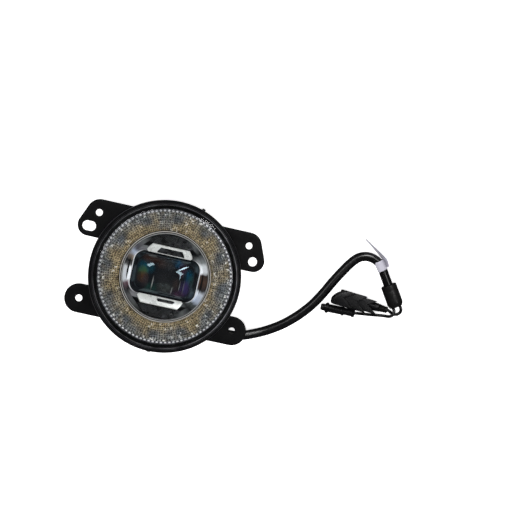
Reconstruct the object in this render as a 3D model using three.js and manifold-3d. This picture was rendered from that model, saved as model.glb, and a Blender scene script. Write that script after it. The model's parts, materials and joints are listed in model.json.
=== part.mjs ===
// A round automotive LED fog light with a halo ring, on its left and right side brackets, and its short tail
// of cable with two plugs. Millimetres. The lamp lies on its heat sink: +Z is the way the light shines, +Y is
// up and +X is to the right when the lamp is mounted and seen from the front. The origin is the middle of the
// heat sink's rear face.
import * as THREE from "three";
import { mergeVertices } from "three/addons/utils/BufferGeometryUtils.js";
import Module from "manifold-3d";

const wasm = await Module();
wasm.setup();

const GAP = 0.3;
const ROUND = 40; // sides of the large rings
const SMALL = 16; // sides of the screws and other small turned pieces
const DEG = Math.PI / 180;

// Lamp, from the rear to the front.
const FIN_DEPTH = 20;
const FLOOR_TOP = 25;
const FLANGE_BACK = 42.3;
const FLANGE_TOP = 46.3;
const FRONT = 56; // front of the bezel's lip and of the inner bezel's rim
const LENS_APEX = 60.5;
const BARREL_R = 41;
const CAVITY_R = 37.5;
const FLANGE_R = 48.5;
const BEZEL_R = 51;
const LIP_R = 47.7;

// Heat sink.
const FIN_PITCH = 6;
const FIN_THICKNESS = 2.4;
const FIN_CIRCLE_R = 37;
const HUB_R = 9;

// Halo ring.
const HALO_INNER_R = 31;
const HALO_OUTER_R = 45.2;
const HALO_BOARD_Z = FLANGE_TOP + GAP;
const BOARD_THICKNESS = 1.6;
const HALO_LEDS = 12;
const HALO_LED_R = 38;

// Projector.
const LENS_WIDTH = 43.4;
const LENS_HEIGHT = 27.4;
const LENS_CORNER = 6.4;
const PROJECTOR_BASE = 45.5;
const PROJECTOR_EDGE = 48.6;
const PROJECTOR_APEX = 55.5;
const RIM_OUTER_R = 30.2;
const RIM_INNER_R = 28.7;
const HOLDER_BACK = 42;
const HOLDER_FRONT = 45.2;
const POST_X = 33;

// Side brackets, 2 mm sheet steel.
const SHEET = 2;
const SHEET_BACK = 40;
const PAD = 0.3; // height of the coined bolting pads on the back of each ear
const BRACKET_INNER_R = 41.6;
const BRACKET_OUTER_R = 49.5;
const MAIN_HOLE = [56.2, 22];
const MAIN_HOLE_R = 3.1;
const MAIN_SLOT = 9.1;
const MAIN_SLOT_R = 3.3;
const SMALL_HOLE = [51.5, 32];
const LOWER_HOLE = [52.5, -26.7];
const SMALL_HOLE_R = 2.35;
const SCREW_R = 2;
const SCREW_CIRCLE_R = 45.3;
const SCREW_ANGLE = 50;

// Cable gland, which points out of the heat sink below the lower right ear.
const GLAND_ANGLE = -32.5;
const GLAND_Z = 11;
const BOSS_FACE = 31;
const THREAD_R = 5.7;
const HEX_ACROSS_FLATS = 15;
const GLAND_END = 45.8;
const SEAL_START = 39.3;

// Cable, leads and what is on them.
const CABLE_R = 3.3;
const LEAD_R = 1.1;
const SLEEVE_START = [158, 26.2];
const SLEEVE_HEADING = -57;
const SLEEVE_LENGTH = 16.6;
const SLEEVE_R = 5.6;
const LEAD_OFFSET = 2.5; // of each lead from the sleeve's axis
const LABEL_PLACE = [150.6, 37.3, 4.85];
const LABEL_HEADING = -52;
const WRAP_R = 4.2; // inside the label's wrap
const PLUG_FRONT = [121.5, 11.08];
const PLUG_HEADING = -3.5;
const PLUG_AXIS_Z = 5;
const PLUG_CHAMFER = 0.7;
const PLUG_TOP = 11.2; // of the shell under the latch
const BOOT_START = 33.4;
const BOOT_END = 39.8;
const MOUTH_Y = -1.6; // middle of the mating mouth, which lies off the plug's axis
const LATCH_PIVOT = [3.2, 11.85]; // in the plug's own X and Z
const LATCH_BACK = 12.1; // height of the lever's underside
const SLIM_FRONT = [114.6, 1];
const SLIM_HEADING = 1.05;
const SLIM_AXIS_Z = 3.75;
const SLIM_BORE_R = 1.5;

const CABLE_ROUTE = [
  [38.87, -24.76, 11],
  [42.4, -27, 10.8],
  [46, -29.1, 10.3],
  [49.8, -30.7, 9.6],
  [53.8, -31.6, 8.7],
  [59.5, -31.5, 7.3],
  [65.7, -30, 5.9],
  [71.7, -27.8, 4.7],
  [77.7, -25.1, 3.9],
  [84, -21.6, 3.5],
  [90, -17.6, 3.4],
  [96, -12.6, 3.4],
  [102, -6.6, 3.4],
  [108.2, 1, 3.4],
  [113.9, 10.2, 3.4],
  [119, 19.8, 3.4],
  [124.2, 28.7, 3.4],
  [129.5, 36.5, 3.4],
  [133.1, 40.2, 3.5],
  [137.1, 42.1, 3.7],
  [140.85, 42.5, 3.9],
  [144.8, 41.7, 4.2],
  [148.3, 39.8, 4.5],
  [150.8, 37.2, 4.8],
  [154, 32.2, 5.2],
  [157, 27.6, 5.5],
  [160.2, 22.8, 5.65],
];
const HALO_LEAD_ROUTE = [
  [159.72, 18.97, 5.65],
  [161.9, 15.61, 5.65],
  [163.53, 13.1, 5.65],
  [164.95, 10.92, 6],
  [165.9, 8.9, 6.9],
  [165.7, 6.85, 7.4],
  [164.6, 5.2, 7],
  [162.8, 4.4, 5.9],
  [160.6, 4.2, 4.7],
  [158, 3.9, 3.5],
  [155, 3.4, 2.5],
  [151.8, 2.9, 1.8],
  [148.4, 2.45, 1.4],
  [145.4, 2.15, 1.6],
  [143.2, 1.95, 2.3],
  [141, 1.75, 3.3],
  [138.9, 1.55, 3.7],
  [136.5, 1.4, 3.75],
  [133.6, 1.35, 3.75],
];
const PLUG_LEAD_ROUTE = [
  [163.91, 21.69, 5.65],
  [166.09, 18.33, 5.65],
  [167.73, 15.82, 5.65],
  [169.15, 13.64, 5.65],
  [170.5, 11.6, 5.7],
  [170.7, 9.4, 5.5],
  [169.4, 7.6, 5],
  [167.4, 6.85, 4.5],
  [165.4, 7.05, 4.3],
  [163.9, 7.75, 4.5],
  [162.3, 8.4, 4.9],
  [160.2, 8.7, 5],
  [156.8, 8.92, 5],
];

// The solid of a closed geometry, with its faces turned outwards.
function solidOf(geometry) {
  const bare = geometry.index ? geometry.toNonIndexed() : geometry.clone();
  bare.deleteAttribute("normal");
  bare.deleteAttribute("uv");
  const merged = mergeVertices(bare, 1e-4);
  const corners = merged.index.array;
  const kept = [];
  for (let i = 0; i < corners.length; i += 3) {
    const [a, b, c] = corners.slice(i, i + 3);
    if (a !== b && b !== c && c !== a) {
      kept.push(a, b, c);
    }
  }
  const triVerts = new Uint32Array(kept);
  const numProp = 3;
  const vertProperties = new Float32Array(merged.attributes.position.array);
  const made = new wasm.Manifold(new wasm.Mesh({ numProp, vertProperties, triVerts }));
  if (made.volume() > 0) {
    return made;
  }
  for (let i = 0; i < triVerts.length; i += 3) {
    [triVerts[i + 1], triVerts[i + 2]] = [triVerts[i + 2], triVerts[i + 1]];
  }
  return new wasm.Manifold(new wasm.Mesh({ numProp, vertProperties, triVerts }));
}

function geometryOf(solid) {
  const mesh = solid.getMesh();
  const geometry = new THREE.BufferGeometry();
  const positions = new Float32Array(mesh.vertProperties);
  geometry.setAttribute("position", new THREE.BufferAttribute(positions, 3));
  geometry.setIndex(new THREE.BufferAttribute(new Uint32Array(mesh.triVerts), 1));
  geometry.computeVertexNormals();
  return geometry;
}

function join(first, ...others) {
  return geometryOf(others.reduce((sum, other) => sum.add(solidOf(other)), solidOf(first)));
}

function cut(first, ...others) {
  return geometryOf(others.reduce((rest, other) => rest.subtract(solidOf(other)), solidOf(first)));
}

// A cylinder or cone along Z, from z to z + height.
function disc(radius, height, z = 0, sides = ROUND, topRadius = radius) {
  const geometry = new THREE.CylinderGeometry(topRadius, radius, height, sides);
  return geometry.rotateX(Math.PI / 2).translate(0, 0, z + height / 2);
}

// The same along X, from x to x + length.
function rod(radius, length, x = 0, sides = SMALL, farRadius = radius) {
  return disc(radius, length, x, sides, farRadius).rotateY(Math.PI / 2);
}

function block(width, depth, height, x, y, z) {
  return new THREE.BoxGeometry(width, depth, height).translate(x, y, z + height / 2);
}

// A turned piece about Z. The profile is a list of [radius, z] and closes on itself or on the axis.
function turned(profile, sides = ROUND) {
  const points = profile.map(([r, z]) => new THREE.Vector2(r, z));
  const onAxis = profile[0][0] === 0 && profile[profile.length - 1][0] === 0;
  if (!onAxis) {
    points.push(points[0].clone());
  }
  return new THREE.LatheGeometry(points, sides).rotateX(Math.PI / 2);
}

function prism(shape, height, z, curveSegments = 6) {
  const options = { depth: height, bevelEnabled: false, curveSegments };
  return new THREE.ExtrudeGeometry(shape, options).translate(0, 0, z);
}

function roundedRect(width, height, radius) {
  const x = width / 2 - radius;
  const y = height / 2 - radius;
  const shape = new THREE.Shape();
  shape.absarc(x, y, radius, 0, Math.PI / 2);
  shape.absarc(-x, y, radius, Math.PI / 2, Math.PI);
  shape.absarc(-x, -y, radius, Math.PI, 1.5 * Math.PI);
  shape.absarc(x, -y, radius, 1.5 * Math.PI, 2 * Math.PI);
  shape.closePath();
  return shape;
}

function polygon(points) {
  const shape = new THREE.Shape();
  shape.moveTo(...points[0]);
  points.slice(1).forEach((point) => shape.lineTo(...point));
  shape.closePath();
  return shape;
}

// A flat piece of ring between two angles in degrees.
function sector(innerR, outerR, from, to, height, z) {
  const shape = new THREE.Shape();
  shape.absarc(0, 0, outerR, from * DEG, to * DEG);
  shape.absarc(0, 0, innerR, to * DEG, from * DEG, true);
  shape.closePath();
  return prism(shape, height, z, 14);
}

// Copies of one closed outline, each with its own size and height, skinned into one solid.
function stacked(outline, levels) {
  const count = outline.length;
  const positions = [];
  for (const { scaleX, scaleY, z } of levels) {
    for (const point of outline) {
      positions.push(point.x * scaleX, point.y * scaleY, z);
    }
  }
  const index = [];
  for (let level = 0; level + 1 < levels.length; level += 1) {
    for (let i = 0; i < count; i += 1) {
      const a = level * count + i;
      const b = level * count + ((i + 1) % count);
      index.push(a, b, b + count, a, b + count, a + count);
    }
  }
  const top = (levels.length - 1) * count;
  const centre = positions.length / 3;
  positions.push(0, 0, levels[0].z, 0, 0, levels[levels.length - 1].z);
  for (let i = 0; i < count; i += 1) {
    const next = (i + 1) % count;
    index.push(next, i, centre, top + i, top + next, centre + 1);
  }
  const geometry = new THREE.BufferGeometry();
  geometry.setAttribute("position", new THREE.Float32BufferAttribute(positions, 3));
  geometry.setIndex(index);
  return geometry;
}

function tube(route, radius, sides, steps) {
  const section = [];
  for (let i = 0; i < sides; i += 1) {
    const angle = (2 * Math.PI * i) / sides;
    section.push([radius * Math.cos(angle), radius * Math.sin(angle)]);
  }
  const extrudePath = new THREE.CatmullRomCurve3(route.map((p) => new THREE.Vector3(...p)));
  return new THREE.ExtrudeGeometry(polygon(section), { steps, extrudePath, bevelEnabled: false });
}

const materials = {
  castBlack: new THREE.MeshStandardMaterial({ color: 0x1b1c1e, roughness: 0.6, metalness: 0.6 }),
  plastic: new THREE.MeshStandardMaterial({ color: 0x121314, roughness: 0.5, metalness: 0 }),
  steel: new THREE.MeshStandardMaterial({ color: 0x17181a, roughness: 0.7, metalness: 0.3 }),
  zinc: new THREE.MeshStandardMaterial({ color: 0xb9bcc0, roughness: 0.35, metalness: 1 }),
  clear: new THREE.MeshStandardMaterial({
    color: 0xf2f5f7,
    roughness: 0.05,
    metalness: 0,
    transparent: true,
    opacity: 0.3,
  }),
  chrome: new THREE.MeshStandardMaterial({ color: 0xe6e8ea, roughness: 0.08, metalness: 1 }),
  glass: new THREE.MeshStandardMaterial({ color: 0x2b3238, roughness: 0.03, metalness: 0.1 }),
  phosphor: new THREE.MeshStandardMaterial({ color: 0xd9c24a, roughness: 0.5, metalness: 0 }),
  board: new THREE.MeshStandardMaterial({ color: 0xe8e8e2, roughness: 0.5, metalness: 0 }),
  driver: new THREE.MeshStandardMaterial({ color: 0x1d5a34, roughness: 0.5, metalness: 0 }),
  rubber: new THREE.MeshStandardMaterial({ color: 0x161616, roughness: 0.8, metalness: 0 }),
  silicone: new THREE.MeshStandardMaterial({ color: 0x8a4a2c, roughness: 0.7, metalness: 0 }),
  jacket: new THREE.MeshStandardMaterial({ color: 0x101112, roughness: 0.35, metalness: 0 }),
  red: new THREE.MeshStandardMaterial({ color: 0xa32020, roughness: 0.5, metalness: 0 }),
  paper: new THREE.MeshStandardMaterial({ color: 0xf1f0f4, roughness: 0.6, metalness: 0 }),
  brass: new THREE.MeshStandardMaterial({ color: 0xc49a45, roughness: 0.3, metalness: 1 }),
};

const lamp = new THREE.Group();

// Adds one named piece to a group. Its geometry passes through a solid, so that its faces point outwards.
function add(name, geometry, material, group = lamp) {
  const mesh = new THREE.Mesh(geometryOf(solidOf(geometry)), material);
  mesh.name = name;
  group.add(mesh);
}

// A group turned about Z and placed at a point, for a piece that is easiest to draw along X.
function turnedGroup(heading, x = 0, y = 0, z = 0) {
  const group = new THREE.Group();
  group.rotation.z = heading * DEG;
  group.position.set(x, y, z);
  lamp.add(group);
  return group;
}

function atAngle(geometry, degrees) {
  return geometry.rotateZ(degrees * DEG);
}

function finBlocks() {
  const fins = [];
  const most = Math.floor((FIN_CIRCLE_R - FIN_THICKNESS) / FIN_PITCH);
  for (let i = -most; i <= most; i += 1) {
    const x = i * FIN_PITCH;
    const half = Math.sqrt(FIN_CIRCLE_R ** 2 - (Math.abs(x) + FIN_THICKNESS / 2) ** 2);
    fins.push(block(FIN_THICKNESS, 2 * half, FIN_DEPTH + 1, x, 0, 0));
  }
  return fins;
}

// Die-cast housing: fins and hub, floor, barrel with its cavity, and the flange that the front is fixed to.
function heatSinkHousing() {
  const body = turned([
    [0, FIN_DEPTH],
    [BARREL_R - 1, FIN_DEPTH],
    [BARREL_R, FIN_DEPTH + 1],
    [BARREL_R, FLANGE_BACK],
    [FLANGE_R, FLANGE_BACK],
    [FLANGE_R, FLANGE_TOP],
    [CAVITY_R, FLANGE_TOP],
    [CAVITY_R, FLOOR_TOP],
    [0, FLOOR_TOP],
  ]);
  const pocketWidth = 21;
  const finned = cut(
    join(body, ...finBlocks(), disc(HUB_R, FIN_DEPTH + 1, 0, 32)),
    atAngle(block(40, pocketWidth, FIN_DEPTH + 1, BOSS_FACE + 20, 0, -1), GLAND_ANGLE),
  );
  const bossLength = 16;
  const boss = atAngle(
    block(bossLength, pocketWidth, FIN_DEPTH + 1, BOSS_FACE - bossLength / 2, 0, 0),
    GLAND_ANGLE,
  );
  const postHeight = HOLDER_BACK - GAP - FLOOR_TOP + 1;
  const posts = [-POST_X, POST_X].map((x) => {
    return disc(3.6, postHeight, FLOOR_TOP - 1, SMALL).translate(x, 0, 0);
  });
  const wireWell = 21.5;
  const cuts = [
    atAngle(rod(THREAD_R + GAP, 8, 24).translate(0, 0, GLAND_Z), GLAND_ANGLE),
    atAngle(rod(2.6, 6, wireWell - 1).translate(0, 0, GLAND_Z), GLAND_ANGLE),
    atAngle(disc(2.6, 20, GLAND_Z - 2, SMALL).translate(wireWell, 0, 0), GLAND_ANGLE),
    ...screwAngles().map((angle) => screwHole(angle, 4, FLANGE_BACK - 1)),
    ...[-POST_X, POST_X].map((x) => disc(1.6, 10, HOLDER_BACK - 8, 16).translate(x, 0, 0)),
    atAngle(rod(2.3, 8, CAVITY_R - 2).translate(0, 0, 33), 150),
  ];
  add("heat_sink_housing", cut(join(finned, boss, ...posts), ...cuts), materials.castBlack);
}

function screwAngles() {
  return [SCREW_ANGLE, -SCREW_ANGLE, 180 - SCREW_ANGLE, 180 + SCREW_ANGLE];
}

function screwHole(angle, height, z) {
  return atAngle(disc(SCREW_R + GAP, height, z, SMALL).translate(SCREW_CIRCLE_R, 0, 0), angle);
}

// Front ring that holds the lens down, with two small moulding tabs on its rim.
function frontBezel() {
  const ring = turned([
    [FLANGE_R + GAP, FLANGE_BACK],
    [BEZEL_R - 0.9, FLANGE_BACK],
    [BEZEL_R, FLANGE_BACK + 1],
    [BEZEL_R, 51.4],
    [BEZEL_R - 0.5, 53.4],
    [BEZEL_R - 1.5, 55],
    [BEZEL_R - 2.7, 55.8],
    [LIP_R, FRONT - 0.5],
    [LIP_R, 51.3],
    [FLANGE_R + GAP, 51.3],
  ]);
  const depth = 3;
  const tab = (angle, width, reach) => {
    return atAngle(block(depth, width, 5, BEZEL_R + reach - depth / 2, 0, 44.5), angle);
  };
  add("front_bezel", join(ring, tab(72, 2.6, 1.1), tab(-90, 3, 0.6)), materials.plastic);
}

// Points [radius, z] of a shallow dome from its edge to its middle.
function dome(edgeR, edgeZ, apexZ, steps) {
  const points = [];
  for (let i = 0; i <= steps; i += 1) {
    const r = edgeR * (1 - i / steps);
    points.push([r, apexZ - (apexZ - edgeZ) * (r / edgeR) ** 2]);
  }
  return points;
}

function outerLens() {
  const wall = 2.2;
  const inner = dome(44.8, 54.9, LENS_APEX - wall, 3).reverse();
  add(
    "outer_lens",
    turned([
      ...inner,
      [45.9, 53.6],
      [45.9, 48.4],
      [48.4, 48.4],
      [48.4, 51],
      [LIP_R - GAP, 51],
      [LIP_R - GAP, 55.2],
      ...dome(46.4, 56.7, LENS_APEX, 3),
    ]),
    materials.clear,
  );
  const seal = turned([
    [45.9, FLANGE_TOP + GAP],
    [48.2, FLANGE_TOP + GAP],
    [48.2, 48.1],
    [45.9, 48.1],
  ]);
  add("lens_gasket", seal, materials.silicone);
}

function haloRing() {
  const optic = turned([
    [HALO_INNER_R - 0.3, 50.4],
    [HALO_OUTER_R, 50.4],
    [HALO_OUTER_R, 52.6],
    [HALO_OUTER_R - 1, 53.4],
    [HALO_INNER_R + 0.5, 53.4],
    [HALO_INNER_R - 0.3, 52.6],
  ]);
  add("halo_optic", optic, materials.clear);
  const board = cut(
    disc(HALO_OUTER_R, BOARD_THICKNESS, HALO_BOARD_Z),
    disc(HALO_INNER_R, BOARD_THICKNESS + 2, HALO_BOARD_Z - 1),
  );
  add("halo_board", board, materials.board);
  const size = 4.6;
  for (let i = 0; i < HALO_LEDS; i += 1) {
    const group = turnedGroup(15 + (i * 360) / HALO_LEDS);
    const name = "halo_led_" + String(i + 1).padStart(2, "0");
    const led = block(size, size, 1.2, HALO_LED_R, 0, HALO_BOARD_Z + BOARD_THICKNESS + GAP);
    add(name, led, materials.phosphor, group);
  }
}

// Bright cup round the projector lens: a rim, a sloping bowl and a floor with the lens's window.
function innerBezel() {
  const cup = turned([
    [0, 46.6],
    [27.2, 46.6],
    [27.2, PROJECTOR_BASE],
    [RIM_OUTER_R, PROJECTOR_BASE],
    [RIM_OUTER_R, FRONT - 0.4],
    [RIM_OUTER_R - 0.4, FRONT],
    [RIM_INNER_R + 0.3, FRONT],
    [RIM_INNER_R, FRONT - 0.5],
    [RIM_INNER_R - 0.8, 52],
    [25.6, 48.4],
    [0, 48.4],
  ]);
  const play = 0.6; // round the lens
  const window = roundedRect(LENS_WIDTH + 2 * play, LENS_HEIGHT + 2 * play, LENS_CORNER + play);
  add("inner_bezel", cut(cup, prism(window, 10, HOLDER_BACK)), materials.chrome);
}

function projectorLens() {
  const shape = roundedRect(1, LENS_HEIGHT / LENS_WIDTH, LENS_CORNER / LENS_WIDTH);
  const outline = shape.getPoints(4).slice(0, -1);
  const levels = [
    { scaleX: LENS_WIDTH, scaleY: LENS_WIDTH, z: PROJECTOR_BASE },
    { scaleX: LENS_WIDTH, scaleY: LENS_WIDTH, z: PROJECTOR_EDGE },
  ];
  const steps = 5;
  for (let i = 1; i < steps; i += 1) {
    const share = 1 - i / steps;
    const z = PROJECTOR_APEX - (PROJECTOR_APEX - PROJECTOR_EDGE) * share ** 2.2;
    levels.push({ scaleX: LENS_WIDTH * share, scaleY: LENS_WIDTH * share, z });
  }
  add("projector_lens", stacked(outline, levels), materials.glass);
}

function projectorInside() {
  const holder = cut(
    disc(36.8, HOLDER_FRONT - HOLDER_BACK, HOLDER_BACK, 36),
    prism(roundedRect(40, 24, 5), 8, HOLDER_BACK - 2),
    ...[-POST_X, POST_X].map((x) => disc(1.8, 8, HOLDER_BACK - 2, 16).translate(x, 0, 0)),
  );
  add("lens_holder", holder, materials.plastic);
  [-POST_X, POST_X].forEach((x, i) => {
    const screw = join(disc(2.8, 1, HOLDER_FRONT + 0.1, 16), disc(1.3, 8, HOLDER_FRONT - 7.2, 16));
    add("holder_screw_" + (i + 1), screw.translate(x, 0, 0), materials.zinc);
  });
  const reflector = turned([
    [7.4, 27.8],
    [9, 27.8],
    [17.5, 32],
    [22, 36.4],
    [24, 40.6],
    [22.8, 40.6],
    [20.8, 36.9],
    [16.5, 32.9],
  ], 28);
  add("projector_reflector", reflector, materials.chrome);
  const shield = polygon([
    [-22, -16],
    [22, -16],
    [22, -1.2],
    [1.6, -1.2],
    [-1.6, -3],
    [-22, -3],
  ]);
  add("cutoff_shield", prism(shield, 0.8, 40.9), materials.steel);
}

function electronics() {
  add("thermal_pad", block(26, 18, 0.7, 0, 0, FLOOR_TOP + GAP), materials.silicone);
  const boardZ = FLOOR_TOP + 1 + GAP;
  add("main_led_board", block(28, 20, 1.2, 0, 0, boardZ), materials.board);
  [-3.2, 3.2].forEach((x, i) => {
    add("main_led_" + (i + 1), block(4.2, 4.2, 1, x, 0, boardZ + 1.2 + GAP), materials.phosphor);
  });
  const driverTop = FLOOR_TOP + GAP + BOARD_THICKNESS;
  const driver = sector(25.6, 36.6, -160, -18, BOARD_THICKNESS, FLOOR_TOP + GAP);
  add("driver_board", driver, materials.driver);
  const partR = 31;
  const place = (geometry, angle) => atAngle(geometry.translate(partR, 0, driverTop + GAP), angle);
  const coil = join(disc(4.4, 6, 0, SMALL), disc(3.2, 7.4, 0, SMALL));
  add("driver_inductor", place(coil, -90), materials.rubber);
  [-112, -68].forEach((angle, i) => {
    const can = join(disc(3.1, 9, 0, SMALL), block(7, 7, 1.2, 0, 0, 0));
    add("driver_capacitor_" + (i + 1), place(can, angle), materials.zinc);
  });
  add("driver_chip", place(block(5, 6, 1.1, 0, 0, 0), -134), materials.plastic);
}

// Gland body, pressure nut and rubber seal, drawn along X from the boss outwards.
function gland() {
  const group = turnedGroup(GLAND_ANGLE, 0, 0, GLAND_Z);
  const hexR = HEX_ACROSS_FLATS / 2 / Math.cos(Math.PI / 6);
  const bore = rod(2.7, 30, 22);
  const hexStart = BOSS_FACE + GAP;
  const hex = rod(hexR, 4.4, hexStart, 6).rotateX(Math.PI / 6);
  const body = cut(join(rod(THREAD_R, 7, 24.6), hex, rod(5.3, 7.4, hexStart)), bore);
  add("gland_body", body, materials.plastic, group);
  const nutStart = hexStart + 4.4 + GAP;
  const nutEnd = GLAND_END - 0.8;
  const nut = cut(
    join(rod(7.4, 5.4, nutStart, 12), rod(7.2, nutEnd - nutStart - 5, nutStart + 5, SMALL, 5.6)),
    rod(5.6, SEAL_START - nutStart + 1, nutStart - 1),
    rod(4.7, 12, SEAL_START - 1),
  );
  add("gland_nut", nut, materials.plastic, group);
  const seal = cut(rod(4.4, GLAND_END - SEAL_START, SEAL_START), rod(CABLE_R + GAP, 10, SEAL_START - 2));
  add("gland_seal", seal, materials.rubber, group);
}

function breatherVent() {
  const group = turnedGroup(150, 0, 0, 33);
  const vent = join(rod(4, 2.2, BARREL_R + GAP, SMALL, 3.6), rod(2, 4, CAVITY_R + 0.4, 16));
  add("breather_vent", vent, materials.rubber, group);
}

// Outline of an upper ear for the right side: two rounded outer corners and straight edges to the ring.
function upperEar() {
  const top = { x: 51, y: 32.1, r: 9 };
  const low = { x: 56.6, y: 22.6, r: 7.5 };
  const along = Math.atan2(low.y - top.y, low.x - top.x);
  const apart = Math.hypot(low.x - top.x, low.y - top.y);
  const tangent = along + Math.acos((top.r - low.r) / apart);
  const shape = new THREE.Shape();
  shape.moveTo(30, low.y - low.r);
  shape.lineTo(low.x, low.y - low.r);
  shape.absarc(low.x, low.y, low.r, -Math.PI / 2, tangent);
  shape.absarc(top.x, top.y, top.r, tangent, Math.PI / 2);
  shape.lineTo(30, top.y + top.r);
  shape.closePath();
  return shape;
}

function lowerEar() {
  const [x, y] = LOWER_HOLE;
  const r = 9.8;
  const shape = new THREE.Shape();
  shape.moveTo(30, y - r);
  shape.absarc(x, y, r, -Math.PI / 2, Math.PI / 2);
  shape.lineTo(30, y + r);
  shape.closePath();
  return shape;
}

function slot(length, radius) {
  const half = length / 2 - radius;
  const shape = new THREE.Shape();
  shape.absarc(half, 0, radius, -Math.PI / 2, Math.PI / 2);
  shape.absarc(-half, 0, radius, Math.PI / 2, 1.5 * Math.PI);
  shape.closePath();
  return shape;
}

// One side bracket: an arc of ring behind the flange with an upper and a lower ear. The left one mirrors the
// right one, except that its main hole is a slot.
function bracket(name, side) {
  const sheets = [
    sector(BRACKET_INNER_R - 2, BRACKET_OUTER_R, -62, 62, SHEET, SHEET_BACK),
    prism(upperEar(), SHEET, SHEET_BACK, 5),
    prism(lowerEar(), SHEET, SHEET_BACK, 8),
  ];
  const padR = 6.4;
  const pads = [MAIN_HOLE, LOWER_HOLE].map(([x, y]) => {
    return disc(padR, PAD + 0.5, SHEET_BACK - PAD, SMALL).translate(x, y, 0);
  });
  const through = SHEET + 4;
  const below = SHEET_BACK - 2;
  const smallHole = ([x, y]) => disc(SMALL_HOLE_R, through, below, SMALL).translate(x, y, 0);
  const roundHole = disc(MAIN_HOLE_R, through, below, 24);
  const mainHole = side > 0 ? roundHole : prism(slot(MAIN_SLOT, MAIN_SLOT_R), through, below, 8);
  const holes = [
    disc(BRACKET_INNER_R, through, below),
    mainHole.translate(...MAIN_HOLE, 0),
    smallHole(SMALL_HOLE),
    smallHole(LOWER_HOLE),
    screwHole(SCREW_ANGLE, through, below),
    screwHole(-SCREW_ANGLE, through, below),
  ];
  const plate = cut(join(...sheets, ...pads), ...holes);
  add(name, side > 0 ? plate : plate.scale(-1, 1, 1), materials.steel);
}

function bracketScrews() {
  const headHeight = 2.4;
  const headTop = SHEET_BACK - GAP;
  const head = disc(3.3, headHeight, headTop - headHeight, SMALL, 3.6);
  const shank = disc(SCREW_R, 5, headTop - 0.5, SMALL);
  const socket = disc(1.5, 2, headTop - headHeight - 0.6, 6);
  const screw = cut(join(head, shank), socket).translate(SCREW_CIRCLE_R, 0, 0);
  screwAngles().forEach((angle, i) => {
    add("bracket_screw_" + (i + 1), screw, materials.zinc, turnedGroup(angle));
  });
}

// The two wires from the gland's well up to the driver board.
function internalLeads() {
  const names = ["internal_lead_red", "internal_lead_black"];
  names.forEach((name, i) => {
    const side = i === 0 ? 1.2 : -1.2;
    const group = turnedGroup(GLAND_ANGLE);
    const route = [
      [22.6, side, 11],
      [21.6, side, 13.5],
      [21.4, side, 19],
      [21.6, side, 25.4],
      [23, side, 28.6],
      [25.6, side * 1.2, 29.4],
      [28, side * 1.5, 28.6],
      [28.4, side * 1.6, 27.4],
    ];
    add(name, tube(route, 0.7, 8, 18), i === 0 ? materials.red : materials.jacket, group);
  });
}

function cordage() {
  add("cable", tube(CABLE_ROUTE, CABLE_R, 10, 48), materials.jacket);
  add("halo_plug_lead", tube(HALO_LEAD_ROUTE, LEAD_R, 8, 26), materials.jacket);
  add("plug_lead", tube(PLUG_LEAD_ROUTE, LEAD_R, 8, 24), materials.jacket);
}

// Inline sleeve where the cable splits into the two leads, drawn along X from the cable's end.
function inlineSleeve() {
  const group = turnedGroup(SLEEVE_HEADING, ...SLEEVE_START, SLEEVE_R + 0.05);
  const shoulder = 3;
  const shell = join(
    rod(SLEEVE_R, SLEEVE_LENGTH - shoulder, 0, 24),
    rod(SLEEVE_R, shoulder, SLEEVE_LENGTH - shoulder, 24, SLEEVE_R - 1.2),
  );
  const leadHoleDepth = 10.4;
  const leadHoles = [-LEAD_OFFSET, LEAD_OFFSET].map((y) => {
    const hole = rod(LEAD_R + 0.4, leadHoleDepth + 1, SLEEVE_LENGTH - leadHoleDepth, SMALL);
    return hole.translate(0, y, 0);
  });
  add("inline_sleeve", cut(shell, rod(CABLE_R + 0.8, 6.5, -1), ...leadHoles), materials.rubber, group);
}

// Paper label: a wrap round the cable, and a flag that stands on its edge and leaves the wrap at an angle.
function flagLabel() {
  const group = turnedGroup(LABEL_HEADING, ...LABEL_PLACE);
  const halfLength = 4.3;
  const wall = 0.4;
  const wrap = cut(rod(WRAP_R + wall, 2 * halfLength, -halfLength, 20), rod(WRAP_R, 24, -12, 20));
  const face = WRAP_R + wall;
  const flag = polygon([
    [1.5, face],
    [-halfLength, face],
    [-8.4, 2.1],
    [-23.6, -1.9],
    [-23.7, -2.3],
    [-8.6, 1.7],
    [-halfLength, face - wall],
    [1.5, face - wall],
  ]);
  add("flag_label", join(wrap, prism(flag, 7.6, -3.2)), materials.paper, group);
}

// A plate of the main plug with chamfered upper and lower edges, from its outline without the chamfer.
function plugPlate(outline, z, height) {
  const options = {
    depth: height - 2 * PLUG_CHAMFER,
    bevelSize: PLUG_CHAMFER,
    bevelThickness: PLUG_CHAMFER,
    bevelSegments: 1,
  };
  return new THREE.ExtrudeGeometry(polygon(outline), options).translate(0, 0, z + PLUG_CHAMFER);
}

// Rear edge of a collar: a notch on the axis and two arms that run back to the sides.
function notchedRear(notch, reach, low, high) {
  return [
    [notch + reach * low, -low],
    [notch, 0],
    [notch + reach * high, high],
  ];
}

// One collar of the main plug, straight at its front. Its sides lie at -low and high.
function collar(front, notch, reach, low, high, z, height) {
  const [bottom, top] = [low - PLUG_CHAMFER, high - PLUG_CHAMFER];
  const outline = [[front, -bottom], ...notchedRear(notch, reach, bottom, top), [front, top]];
  return plugPlate(outline, z, height);
}

// The first collar, whose front slants back on its upper side.
function firstCollar(notch, reach, z, height) {
  const outline = [
    [0.7, -4.4],
    [1.3, -5.1],
    ...notchedRear(notch, reach, 5.1, 4.7),
    [7.6, 4.7],
    [4, 2.4],
    [1.9, 0.3],
    [0.7, -1.7],
  ];
  return plugPlate(outline, z, height);
}

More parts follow.
